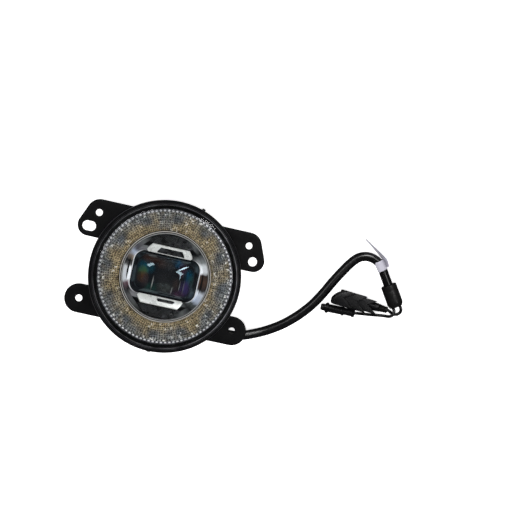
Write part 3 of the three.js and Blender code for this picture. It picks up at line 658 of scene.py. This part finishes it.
def projector_finish():
    """Thick coated lens over a dark chamber, with painted reflections of its coating: teal, blue, amber and
    violet patches and a grey middle, and painted highlights on the upright edges of the reflector that show
    through it."""
    made, tree, shader = new_material("projector_glass")
    place = object_place(tree)
    colour = (0.006, 0.007, 0.009)
    streaks = wire(tree, "ShaderNodeMapping", {"Vector": place, "Scale": (1.0, 0.3, 1.0)}).outputs[0]
    rough_share = ranged(tree, noise(tree, streaks, 330.0), 0.35, 0.65, 0.3, 1.0)
    # Painted reflections of the coating: coloured patches and a grey middle.
    painted_coating_reflections = [
        (0.5, 0.0, 8.0, 14.0, (0.016, 0.016, 0.017)),
        (-13.5, 4.0, 6.5, 5.5, (0.004, 0.05, 0.075)),
        (-15.0, 1.0, 4.0, 4.0, (0.035, 0.075, 0.03)),
        (-14.5, -3.2, 4.0, 4.5, (0.07, 0.03, 0.014)),
        (-11.0, 9.5, 7.0, 4.0, (0.05, 0.022, 0.016)),
        (-3.5, 8.0, 4.0, 4.0, (0.05, 0.028, 0.022)),
        (-8.0, -9.0, 5.0, 4.0, (0.01, 0.035, 0.03)),
        (-12.5, -5.0, 3.0, 6.0, (0.028, 0.02, 0.022)),
        (7.0, 10.0, 4.5, 3.5, (0.008, 0.05, 0.10)),
        (10.5, 6.5, 3.5, 6.0, (0.05, 0.026, 0.045)),
        (15.5, 3.0, 4.0, 5.5, (0.003, 0.045, 0.08)),
        (17.5, 0.0, 2.6, 5.0, (0.02, 0.055, 0.05)),
        (14.5, -5.0, 4.5, 6.5, (0.035, 0.024, 0.085)),
        (10.0, -9.5, 6.0, 3.5, (0.045, 0.02, 0.04)),
        (8.5, -3.5, 3.5, 5.0, (0.03, 0.022, 0.02)),
        (1.5, -7.5, 7.0, 4.2, (0.042, 0.046, 0.044)),
        (0.5, 8.5, 6.0, 4.5, (0.036, 0.036, 0.038)),
        (1.8, 0.4, 4.0, 4.0, (0.012, 0.012, 0.013)),
        # Painted highlights: the pale upright edges of the reflector seen through the lens.
        (-7.5, -5.5, 0.5, 5.6, (0.30, 0.29, 0.28)),
        (6.0, -8.2, 0.5, 3.0, (0.22, 0.23, 0.22)),
        (10.6, -4.0, 0.4, 4.5, (0.15, 0.16, 0.16)),
        (13.4, -4.5, 0.4, 5.5, (0.13, 0.13, 0.14)),
    ]
    tint = colour
    for x, y, width, height, shade in painted_coating_reflections:
        share = maths(tree, "MULTIPLY", glow(tree, place, x, y, width, height), rough_share)
        tint = mixed(tree, share, tint, shade)
    tree.links.new(tint, shader.inputs["Base Color"])
    shader.inputs["Roughness"].default_value = 0.04
    shader.inputs["IOR"].default_value = 1.85
    shader.inputs["Specular Tint"].default_value = (0.7, 0.92, 1.0, 1.0)
    inputs = {"Strength": 0.5, "Distance": 0.02 * MM, "Height": noise(tree, place, 120.0)}
    tree.links.new(wire(tree, "ShaderNodeBump", inputs).outputs[0], shader.inputs["Normal"])
    return made


MATERIALS = {
    "cast_black": finish(
        "cast_black", (0.008, 0.008, 0.0088), 0.5, mottle=0.3, grain=1400, bump=0.04, specular=0.4
    ),
    "black_plastic": finish(
        "black_plastic", (0.0034, 0.0034, 0.004), 0.36, mottle=0.3, grain=2600, bump=0.006, specular=0.25
    ),
    "black_rubber": finish("black_rubber", (0.008, 0.008, 0.008), 0.6, mottle=0.3, grain=2200, bump=0.012),
    "white_board": finish("white_board", (0.32, 0.33, 0.33), 0.4, mottle=0.1, bump=0.01),
    "phosphor": finish("phosphor", (0.5, 0.4, 0.12), 0.5, mottle=0.2, bump=0.02),
    "chrome": finish(
        "chrome", (0.82, 0.83, 0.85), 0.08, metallic=1.0, mottle=0.05, grain=600, bump=0.0015, spread=0.04
    ),
    "zinc": finish("zinc", (0.6, 0.61, 0.63), 0.3, metallic=1.0, mottle=0.12, grain=3000, bump=0.006),
    "black_steel": finish(
        "black_steel", (0.0036, 0.0036, 0.0039), 0.55, mottle=0.35, grain=1500, bump=0.015, specular=0.1
    ),
    "silicone": finish("silicone", (0.3, 0.31, 0.33), 0.6),
    "green_board": finish("green_board", (0.03, 0.16, 0.07), 0.35, mottle=0.15),
    "red_wire": finish("red_wire", (0.4, 0.03, 0.03), 0.4, mottle=0.12),
    "cable_jacket": finish(
        "cable_jacket",
        (0.0032, 0.0032, 0.0036),
        0.24,
        mottle=0.3,
        grain=1100,
        bump=0.004,
        spread=0.04,
        specular=0.55,
    ),
    "sleeve_rubber": finish(
        "sleeve_rubber", (0.0052, 0.005, 0.005), 0.4, mottle=0.35, grain=1700, bump=0.012, specular=0.4
    ),
    "plug_plastic": finish(
        "plug_plastic", (0.0036, 0.0036, 0.0042), 0.34, mottle=0.35, grain=2400, bump=0.006, specular=0.26
    ),
    "paper": finish("paper", (0.5, 0.49, 0.56), 0.5, mottle=0.06, grain=900, bump=0.01),
    "brass": finish("brass", (0.7, 0.52, 0.25), 0.3, metallic=1.0, mottle=0.1, bump=0.004),
    "halo_optic": halo_finish(),
    "clear_lens": clear_finish("clear_lens", (0.97, 0.98, 0.985), 1.25),
    "projector_glass": projector_finish(),
}
CUP_CHROME = cup_finish()
BEZEL_PLASTIC = bezel_finish()
# Chrome painted dark: painted dark reflections on the ribbed arcs and on the inlays of the plates.
PAINTED_DARK_CHROME = finish(
    "painted_dark_chrome", (0.045, 0.046, 0.048), 0.3, metallic=0.6, mottle=0.5, grain=500, broad=250, bump=0.004
)
BRIGHT_PLATE = finish(
    "bright_plate", (0.86, 0.855, 0.82), 0.3, metallic=0.25, mottle=0.06, grain=1500, broad=200, bump=0.004
)
# Clear beads painted near white: a painted highlight over each whole bead.
PAINTED_GLINT_BEADS = finish("painted_glint_beads", (0.8, 0.79, 0.82), 0.15, mottle=0.25, grain=500, broad=200, bump=0.01)
HALO_STEP = finish("halo_step", (0.09, 0.088, 0.095), 0.25, mottle=0.4, grain=900, broad=300, bump=0.01)


def dress_cad_nodes():
    """Gives each CAD node the finish of its slot in the record."""
    for row in frame["record"]["subparts"]:
        mesh = frame["nodes"][row["node"]].data
        mesh.materials.clear()
        mesh.materials.append(MATERIALS[row["material_slot"]])


# --- Lamp ----------------------------------------------------------------------------------------


def tab(angle, width, reach):
    """A moulding tab on the bezel's rim."""
    half = width / 2
    outline = [(49.6, -half), (51 + reach, -half * 0.8), (51 + reach, half * 0.8), (49.6, half)]
    return moved(slab(outline, 44.5, 49.5, 0.25), Matrix.Rotation(math.radians(angle), 4, "Z"))


def front_bezel():
    profile = [
        (48.8, 42.3),
        (50.4, 42.3),
        (50.9, 42.6),
        (51.0, 43.1),
        (51.0, 47.2),
        (50.75, 47.4),
        (50.75, 47.8),
        (51.0, 48.0),
        (51.0, 51.2),
        (50.9, 52.2),
        (50.65, 53.0),
        (50.3, 53.6),
        (50.1, 53.75),
        (50.0, 53.6),
        (49.85, 53.6),
        (49.75, 54.0),
        (49.45, 54.5),
        (49.2, 54.65),
        (49.1, 54.5),
        (48.9, 54.5),
        (48.8, 54.95),
        (48.5, 55.4),
        (48.1, 55.7),
        (47.85, 55.65),
        (47.7, 55.4),
        (47.7, 51.3),
        (48.8, 51.3),
    ]
    part = joined(lathe(profile, 192), tab(72, 2.6, 1.1), tab(-90, 3.0, 0.6))
    piece("bezel_ring", part, BEZEL_PLASTIC, "black_plastic", replaces=["front_bezel"])


def dome(edge_r, edge_z, apex_z, steps):
    """Points (radius, height) of a shallow dome from its edge to its middle."""
    found = []
    for i in range(steps + 1):
        radius = edge_r * (1 - i / steps)
        found.append((radius, apex_z - (apex_z - edge_z) * (radius / edge_r) ** 2))
    return found


def outer_lens():
    rim = [
        (44.8, 53.6),
        (45.9, 53.0),
        (45.9, 48.4),
        (48.4, 48.4),
        (48.4, 51.0),
        (47.4, 51.0),
        (47.4, 55.0),
        (47.25, 55.7),
        (46.9, 56.3),
    ]
    profile = dome(44.2, 54.7, 58.3, 14)[::-1] + rim + dome(46.4, 56.7, 60.5, 16)
    piece("lens_cover", lathe(profile, 192), MATERIALS["clear_lens"], "clear_lens", replaces=["outer_lens"])


def halo_optic():
    """Clear ring with rows of small pillows on top of it and a flat back."""
    steps = 4
    around = HALO_CELLS * steps
    across = HALO_ROWS * steps
    corners, faces = [], []
    for i in range(across + 1):
        radius = HALO_INNER_R + (HALO_OUTER_R - HALO_INNER_R) * i / across
        rise = abs(math.sin(math.pi * i / steps))
        for j in range(around):
            angle = 2 * math.pi * j / around
            swell = 0.22 * (rise * abs(math.sin(math.pi * j / steps))) ** 0.7
            corners.append((radius * math.cos(angle), radius * math.sin(angle), 52.5 + swell))
    for i in range(across):
        for j in range(around):
            k = (j + 1) % around
            faces.append((i * around + j, (i + 1) * around + j, (i + 1) * around + k, i * around + k))
    walls = lathe(
        [
            (HALO_OUTER_R, 52.5),
            (HALO_OUTER_R, 50.4),
            (HALO_INNER_R, 50.4),
            (HALO_INNER_R, 52.5),
        ],
        around,
    )
    # The fourth band of the loop is the flat top, which the pillows take the place of.
    without_top = (walls[0], walls[1][: 3 * around])
    part = joined((corners, faces), without_top)
    piece("halo_pillows", part, MATERIALS["halo_optic"], "halo_optic", replaces=["halo_optic"])


def bead_ring():
    """Rim of the halo optic: a step with a row of beads on it."""
    step = lathe([(43.15, 50.4), (45.2, 50.4), (45.2, 52.4), (45.0, 52.7), (43.3, 52.7), (43.15, 52.5)], 200)
    beads = []
    rounds, rings = 12, 4
    for i in range(BEADS):
        turn = Matrix.Rotation(2 * math.pi * (i + 0.5) / BEADS, 4, "Z")
        centre = turn @ Matrix.Translation((44.1, 0, 52.65))
        profile = [(math.cos(a), math.sin(a)) for a in (math.pi / 2 * k / rings for k in range(rings + 1))]
        shape = lathe([(r, z * 0.75) for r, z in profile[:-1]] + [(0.0, 0.75)] + [(0.0, 0.0)], rounds)
        beads.append(moved(shape, centre @ Matrix.Diagonal((0.75, 0.85, 1.0, 1.0))))
    piece("halo_step", step, HALO_STEP, "halo_optic")
    piece("halo_beads", joined(*beads), PAINTED_GLINT_BEADS, "halo_optic")


def half_round(middle, radius, z, steps=8):
    """Profile points over the top of a rounded rim, from its outer to its inner side."""
    found = []
    for i in range(steps + 1):
        angle = math.pi * i / steps
        found.append((middle + radius * math.cos(angle), z + radius * math.sin(angle)))
    return found


def ring_between(inner, inner_z, outer, outer_z):
    """A strip of faces between two loops with the same number of points."""
    count = len(inner)
    corners = [(x, y, inner_z) for x, y in inner] + [(x, y, outer_z) for x, y in outer]
    faces = [(i, (i + 1) % count, count + (i + 1) % count, count + i) for i in range(count)]
    return corners, faces


def cup():
    """Bright cup: a rounded rim, a bowl, and a floor down to the window of the projector lens."""
    bowl = lathe(
        [(30.2, 45.5), (30.2, 55.2)]
        + half_round(29.95, 0.25, 55.4, 5)
        + [(29.6, 54.9), (29.3, 54.8)]
        + half_round(28.9, 0.3, 55.3, 5)
        + [(28.5, 54.2), (28.1, 52.6), (27.2, 50.6), (25.9, 49.0), (25.6, 48.4)]
        + [(25.6, 46.6), (27.2, 46.6), (27.2, 45.5)],
        192,
    )
    window = rounded_rect(*WINDOW, steps=12)
    circle = []
    for x, y in window:
        reach = 25.7 / math.hypot(x, y)
        circle.append((x * reach, y * reach))
    lip = offset(window, 0.7)
    floor = joined(
        ring_between(window, 46.6, window, 48.7),
        ring_between(window, 48.7, offset(window, 0.25), 49.0),
        ring_between(offset(window, 0.25), 49.0, offset(window, 0.5), 49.0),
        ring_between(offset(window, 0.5), 49.0, lip, 48.5),
        ring_between(lip, 48.5, circle, 48.4),
        ring_between(window, 46.6, circle, 46.6),
    )
    piece("reflector_cup", joined(bowl, floor), CUP_CHROME, "chrome", replaces=["inner_bezel"])


def chord(y, radius):
    """Half the width of a circle at y."""
    return math.sqrt(radius * radius - y * y)


def turned_for(side):
    """No turn for the upper side of the cup, and half a turn for the lower side."""
    return Matrix.Identity(4) if side > 0 else Matrix.Rotation(math.pi, 4, "Z")


def plate(side):
    """Bright plate above or below the projector lens, tilted towards it, and its place."""
    near, far = 14.7, 20.9
    outline = [(-14.4, near), (14.4, near), (15.4, near + 1.2), (14.6, near + 3.2), (12.6, far)]
    outline += [(-12.6, far), (-14.6, near + 3.2), (-15.4, near + 1.2)]
    shape = slab(outline, 0.0, 1.6, 0.35)
    tilt = Matrix.Rotation(math.radians(27), 4, "X")
    tilt = Matrix.Translation((0, near, 48.3)) @ tilt @ Matrix.Translation((0, -near, 0))
    place = turned_for(side) @ tilt
    return moved(shape, place), place


def plates():
    upper, place = plate(1)
    lower, lower_place = plate(-1)
    piece("cup_plates", joined(upper, lower), BRIGHT_PLATE, "chrome")
    lozenge = [(-8.4, 15.4), (9.6, 15.4), (9.9, 16.2), (8.0, 19.6), (-6.6, 19.6), (-8.6, 16.4)]
    low = [(-9.5, 16.0), (1.5, 16.0), (2.2, 16.8), (1.2, 18.2), (-8.8, 18.2), (-10.2, 16.8)]
    inlay = joined(
        moved(slab(lozenge, 1.45, 1.75, 0.12), place),
        moved(slab(low, 1.45, 1.75, 0.12), lower_place),
    )
    piece("cup_inlay", inlay, PAINTED_DARK_CHROME, "chrome")


def ribs():
    """Fine upright ribs on the dark arcs beyond the plates."""
    parts = []
    for side in (1, -1):
        turn = turned_for(side)
        y = 20.6
        while y < 27.6:
            half = chord(y, 28.0) - 0.3
            z = 49.2 + (y - 20.6) * 0.45
            outline = [(-half, y), (half, y), (half, y + 0.62), (-half, y + 0.62)]
            parts.append(moved(slab(outline, 47.2, z, 0.2, rounding=2), turn))
            y += 0.78
    piece("cup_ribs", joined(*parts), PAINTED_DARK_CHROME, "chrome")


def projector_lens():
    width, height, corner = LENS_SIZE
    outline = rounded_rect(width, height, corner, steps=16)
    levels = [(1.0, 45.5), (1.0, 48.2), (0.992, 48.45), (0.975, 48.65)]
    steps = 20
    for i in range(1, steps):
        share = 0.975 * (1 - i / steps)
        levels.append((share, 55.5 - 6.7 * (share / 0.975) ** 2.2))
    corners = [(x * share, y * share, z) for share, z in levels for x, y in outline]
    count = len(outline)
    faces = []
    for level in range(len(levels) - 1):
        low, high = level * count, (level + 1) * count
        for i in range(count):
            j = (i + 1) % count
            faces.append((low + i, low + j, high + j, high + i))
    apex = len(corners)
    corners += [(0, 0, 55.5), (0, 0, 45.5)]
    last = (len(levels) - 1) * count
    for i in range(count):
        j = (i + 1) % count
        faces.append((last + i, last + j, apex))
        faces.append((j, i, apex + 1))
    glass = MATERIALS["projector_glass"]
    piece("coated_lens", (corners, faces), glass, "projector_glass", replaces=["projector_lens"])


# --- Brackets ------------------------------------------------------------------------------------


def bracket_outline():
    """Outline of the right side bracket, anticlockwise from the lower end of its ring."""
    inner, outer, reach = 41.6, 49.5, 62.0
    ear_x, ear_y, ear_r = 52.5, -26.7, 9.8
    top_x, top_y, top_r = 51.0, 32.1, 9.0
    low_x, low_y, low_r = 56.6, 22.6, 7.5
    along = math.degrees(math.atan2(low_y - top_y, low_x - top_x))
    apart = math.hypot(low_x - top_x, low_y - top_y)
    tangent = along + math.degrees(math.acos((top_r - low_r) / apart))

    def on_ring(y):
        return math.degrees(math.asin(y / outer))

    start_x = 30.0
    return (
        arc(0, 0, outer, -reach, on_ring(ear_y - ear_r), 6)
        + arc(ear_x, ear_y, ear_r, -90, 90, 30)
        + arc(0, 0, outer, on_ring(ear_y + ear_r), on_ring(low_y - low_r), 16)
        + arc(low_x, low_y, low_r, -90, tangent, 24)
        + arc(top_x, top_y, top_r, tangent, 90, 12)
        + [(start_x, top_y + top_r)]
        + arc(0, 0, outer, math.degrees(math.acos(start_x / outer)), reach, 4)
        + arc(0, 0, inner, reach, -reach, 60)
    )


def brackets():
    outline = bracket_outline()
    main = (56.2, 22.0)
    small = [(51.5, 32.0), (52.5, -26.7)]
    for side, name in ((1, "bracket_right"), (-1, "bracket_left")):
        if side > 0:
            hole = arc(*main, 3.1, 360, 0, 36)[:-1]
        else:
            half = 9.1 / 2 - 3.3
            hole = arc(main[0] - half, main[1], 3.3, -90, -270, 16)
            hole += arc(main[0] + half, main[1], 3.3, 90, -90, 16)
        holes = [hole] + [arc(x, y, 2.35, 360, 0, 28)[:-1] for x, y in small]
        for angle in (50, -50):
            turn = math.radians(angle)
            holes.append(arc(45.3 * math.cos(turn), 45.3 * math.sin(turn), 2.3, 360, 0, 20)[:-1])
        sheet = slab(outline, 40.0, 42.0, 0.35, holes)
        pads = [slab(arc(*main, 6.4, 0, 360, 40)[:-1], 39.7, 40.1, 0.12, [hole])]
        pads.append(slab(arc(*small[1], 6.4, 0, 360, 40)[:-1], 39.7, 40.1, 0.12, [holes[2]]))
        part = joined(sheet, *pads)
        if side < 0:
            part = moved(part, Matrix.Diagonal((-1.0, 1.0, 1.0, 1.0)))
        piece(name + "_sheet", part, MATERIALS["black_steel"], "black_steel", replaces=[name])


# --- Cable, sleeve, label and plugs --------------------------------------------------------------


def sleeve():
    profile = [
        (0.0, 5.5),
        (4.1, 5.5),
        (4.15, 0.6),
        (4.4, 0.15),
        (4.7, 0.0),
        (5.2, 0.05),
        (5.5, 0.3),
        (5.6, 0.8),
        (5.6, 3.2),
        (5.5, 3.6),
        (5.5, 4.1),
        (5.6, 4.5),
        (5.6, 13.4),
        (5.45, 14.3),
        (5.1, 15.2),
        (4.8, 15.9),
        (4.3, 16.4),
        (3.8, 16.6),
        (0.0, 16.6),
    ]
    part = moved(lathe(profile, 64), turned_to(SLEEVE_HEADING, SLEEVE_PLACE) @ ALONG_X)
    rubber = MATERIALS["sleeve_rubber"]
    return piece("split_sleeve", part, rubber, "sleeve_rubber", replaces=["inline_sleeve"])


def label():
    """Paper label: a wrap round the cable, and its flag, which stands on its edge and leaves at an angle."""
    wrap = lathe([(3.4, -4.6), (3.6, -4.9), (3.65, -1.5), (3.6, 2.4), (3.4, 2.1), (3.45, -1.5)], 48)
    wrap = moved(wrap, ALONG_X)
    steps = 30
    corners, faces = [], []
    for i in range(steps + 1):
        share = i / steps
        x = 1.5 - 25.0 * share
        y = 3.6 if x > -3.0 else 3.6 + 0.27 * (x + 3.0)
        end = max(0.0, share - 0.9) / 0.1
        low = -3.2 + 2.2 * end * end
        high = 4.4 - 2.4 * share - 1.4 * end * end
        lean = 2.6 * (1 - share) ** 1.1 * min(1.0, 0.3 + 2.5 * share)
        belly = 0.3 * math.sin(math.pi * share)
        for shift, z in ((lean - 0.15, high), (lean + 0.15, high), (0.25, low), (-0.05, low)):
            corners.append((x, y + belly + shift, z))
    for i in range(steps):
        for j in range(4):
            k = (j + 1) % 4
            faces.append((i * 4 + j, i * 4 + k, (i + 1) * 4 + k, (i + 1) * 4 + j))
    faces += [(0, 1, 2, 3), tuple(steps * 4 + j for j in (3, 2, 1, 0))]
    part = moved(joined(wrap, (corners, faces)), turned_to(LABEL_HEADING, LABEL_PLACE))
    return piece("paper_flag", part, MATERIALS["paper"], "paper", replaces=["flag_label"])


def plug_plate(outline, z, height):
    """A plate of the main plug with a shallow chamfer, from its outline PLUG_CHAMFER inside the edge."""
    return slab(offset(outline, PLUG_CHAMFER), z, z + height, 0.65, rounding=1, fall=0.3)


def notched_rear(notch, reach, low, high):
    """Rear edge of a collar: a notch on the axis and two arms that run back to the sides."""
    return [(notch + reach * low, -low), (notch, 0), (notch + reach * high, high)]


def collar(front, notch, reach, low, high, z, height):
    bottom, top = low - PLUG_CHAMFER, high - PLUG_CHAMFER
    outline = [(front, -bottom), *notched_rear(notch, reach, bottom, top), (front, top)]
    return plug_plate(outline, z, height)


def first_collar(notch, reach, z, height):
    """The first collar, whose front slants back on its upper side."""
    front = [(0.4, -4.6), (1.0, -5.4)]
    back = [(8.4, 4.7), (4, 2.4), (1.9, 0.4), (0.4, -1.9)]
    return plug_plate(front + notched_rear(notch, reach, 5.4, 4.7) + back, z, height)


def box(width, depth, height, x, y, z):
    outline = [(x - width / 2, y - depth / 2), (x + width / 2, y - depth / 2)]
    outline += [(x + width / 2, y + depth / 2), (x - width / 2, y + depth / 2)]
    return slab(outline, z, z + height, 0.2, rounding=2)


def boot_profile():
    rings = [(0, 0), (2.7, 0), (3.0, 0.3)]
    for i in range(4):
        x = 1.1 + i * 1.2
        radius = 2.95 - 0.12 * x
        rings += [(radius, x - 0.35), (radius - 0.3, x), (radius - 0.3, x + 0.3), (radius - 0.08, x + 0.6)]
    return rings + [(2.2, 6.2), (2.0, 6.4), (0, 6.4)]


def main_plug():
    place = turned_to(PLUG_HEADING, PLUG_PLACE)
    barrel = lathe([(0, 21), (3, 21), (3, 32.7), (2.7, 33.1), (0, 33.1)], 48)
    shell = joined(
        first_collar(5, 1.5, 0.1, 11.1),
        collar(5.6, 14.6, 1.35, 6.2, 5.3, 0.3, 12.3),
        collar(12, 23, 1.6, 5.2, 4.2, 0.6, 10.6),
        moved(barrel, Matrix.Translation((0, 0, PLUG_AXIS_Z)) @ ALONG_X),
    )
    room = offset([(-2, -9), *notched_rear(5.1, 1.5, 8, 8), (-2, 8)], PLUG_CHAMFER)
    cutter = joined(box(10, 5, 9, 2.6, MOUTH_Y, 1.1), slab(room, 11.2, 19.0, 0.05, rounding=1))
    plastic = MATERIALS["plug_plastic"]
    options = {"replaces": ["plug_housing"], "cutter": moved(cutter, place)}
    body = piece("plug_shell", moved(shell, place), plastic, "plug_plastic", **options)
    boot_place = place @ Matrix.Translation((BOOT_START, 0, PLUG_AXIS_Z)) @ ALONG_X
    boot_part = moved(lathe(boot_profile(), 48), boot_place)
    rubber = MATERIALS["sleeve_rubber"]
    boot = piece("plug_strain_boot", boot_part, rubber, "sleeve_rubber", replaces=["plug_boot"])
    lever = joined(
        first_collar(4.6, 1.5, 12.1, 2.1),
        box(1.6, 4.4, 1.2, 3.2, -1.4, 11.55),
        box(3, 2.8, 1.8, 0.7, -2.9, 12.2),
        box(0.8, 2.8, 3, -0.7, -2.9, 11.0),
    )
    latch = piece("latch_lever", moved(lever, place), plastic, "plug_plastic", "plug_latch", ["plug_latch"])
    return [body, boot, latch]


def slim_plug():
    profile = [(1.7, 1.2), (2.2, 1.2), (2.4, 1.5), (2.4, 3.0), (2.9, 3.1), (2.9, 3.5)]
    profile += [(3.5, 3.6), (3.7, 3.9), (3.7, 4.9), (3.5, 5.2), (2.9, 5.3), (2.9, 14.9)]
    profile += [(2.9, 15.1), (3.3, 15.3), (3.4, 15.6), (3.4, 16.3), (3.2, 16.6), (2.6, 16.7), (2.6, 22.4)]
    profile += [(2.9, 22.5), (3.1, 22.8), (3.1, 23.8), (2.9, 24.2), (1.7, 24.2)]
    part = moved(lathe(profile, 48), turned_to(SLIM_HEADING, SLIM_PLACE) @ ALONG_X)
    plastic = MATERIALS["plug_plastic"]
    return [piece("slim_plug_shell", part, plastic, "plug_plastic", replaces=["halo_plug_body"])]


def cords(sleeve_piece, label_piece, plug_pieces, slim_pieces):
    nodes = frame["nodes"]
    rows = [
        (
            "cable_cord",
            "cable",
            CABLE_ROUTE,
            CABLE_R,
            CABLE_LENGTH,
            "connector",
            "medium",
            [sleeve_piece, label_piece],
        ),
        (
            "slim_plug_cord",
            "halo_plug_lead",
            HALO_LEAD_ROUTE,
            LEAD_R,
            SLIM_LEAD_LENGTH,
            "plug",
            "limp",
            slim_pieces + [nodes["halo_plug_seal"], nodes["halo_plug_contact"]],
        ),
        (
            "main_plug_cord",
            "plug_lead",
            PLUG_LEAD_ROUTE,
            LEAD_R,
            PLUG_LEAD_LENGTH,
            "plug",
            "limp",
            plug_pieces + [nodes["plug_lock"], nodes["plug_contact_1"], nodes["plug_contact_2"]],
        ),
    ]
    for name, node, route, radius, length, far_end, stiffness, on_it in rows:
        obj = cord_curve(name, route, radius)
        obj.data.materials.append(MATERIALS["cable_jacket"])
        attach(obj, "lamp")
        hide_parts(node)


# --- Studio --------------------------------------------------------------------------------------


def studio_floor():
    size = 3.0
    mesh = bpy.data.meshes.new("studio_floor")
    corners = [(-size, -size, 0), (size, -size, 0), (size, size, 0), (-size, size, 0)]
    mesh.from_pydata(corners, [], [(0, 1, 2, 3)])
    white = (0.9, 0.9, 0.9)
    made = finish("studio_floor", white, 0.6, mottle=0.01, broad=3.0, grain=300.0, bump=0.0, specular=0.1)
    shader = made.node_tree.nodes["Principled BSDF"]
    shader.inputs["Emission Color"].default_value = (1.0, 1.0, 1.0, 1.0)
    shader.inputs["Emission Strength"].default_value = 0.75
    mesh.materials.append(made)
    floor = bpy.data.objects.new("studio_floor", mesh)
    floor.location.z = -0.0005
    scene.collection.objects.link(floor)
    floor.visible_glossy = False


def softbox(name, place, size, power, turn=0.0, target=(0.06, 0.0, 0.03), glint=False):
    """An area light at a place across and upwards in the picture and above the table, that looks at target.
    turn is the angle of its longer side in the picture. A glint shows only in shiny surfaces, and any other
    light only in the shading."""
    data = bpy.data.lights.new(name, "AREA")
    data.shape = "RECTANGLE"
    data.size, data.size_y = size
    data.energy = power
    light = bpy.data.objects.new(name, data)
    light.visible_camera = False
    light.visible_glossy = glint
    light.visible_diffuse = not glint
    scene.collection.objects.link(light)
    across, upwards, height = place
    target = Vector(target)
    place = target + across * IMAGE_RIGHT + upwards * IMAGE_UP + Vector((0.0, 0.0, height))
    angle = math.radians(turn)
    side = math.cos(angle) * IMAGE_RIGHT + math.sin(angle) * IMAGE_UP
    aimed(light, place, target - place, side)


def studio():
    studio_floor()
    lens = (0.0, 0.0, 0.05)
    softbox("fill_low", (0.3, -0.8, 0.8), (0.9, 0.5), 6.0)
    softbox("fill_high", (-0.2, 0.9, 0.8), (0.9, 0.5), 5.5)
    softbox("fill_front", (-0.22, -0.1, 1.05), (0.3, 0.3), 8.5)
    softbox("lens_left", (-0.36, 0.42, 0.85), (0.72, 0.12), 1.7, 42.0, lens, glint=True)
    softbox("lens_right", (0.46, 0.12, 0.85), (0.6, 0.12), 1.5, -58.0, lens, glint=True)
    softbox("cord_glint", (0.06, 0.19, 0.3), (0.16, 0.07), 0.5, 45.0, (0.13, 0.04, 0.005), glint=True)
    world = bpy.data.worlds.new("studio")
    world.use_nodes = True
    tree = world.node_tree
    place = wire(tree, "ShaderNodeTexCoord", {}).outputs["Generated"]
    height = wire(tree, "ShaderNodeSeparateXYZ", {0: place}).outputs[2]
    level = ranged(tree, height, 0.0, 1.0, 0.05, 0.03)
    tree.links.new(level, tree.nodes["Background"].inputs["Strength"])
    tree.nodes["Background"].inputs["Color"].default_value = (1.0, 1.0, 1.0, 1.0)
    scene.world = world
    scene.view_settings.view_transform = "Standard"
    scene.view_settings.look = "None"


make_camera()
sleeve_piece = sleeve()
label_piece = label()
plug_pieces = main_plug()
slim_pieces = slim_plug()
cords(sleeve_piece, label_piece, plug_pieces, slim_pieces)
dress_cad_nodes()
front_bezel()
outer_lens()
halo_optic()
bead_ring()
cup()
plates()
ribs()
projector_lens()
brackets()
studio()
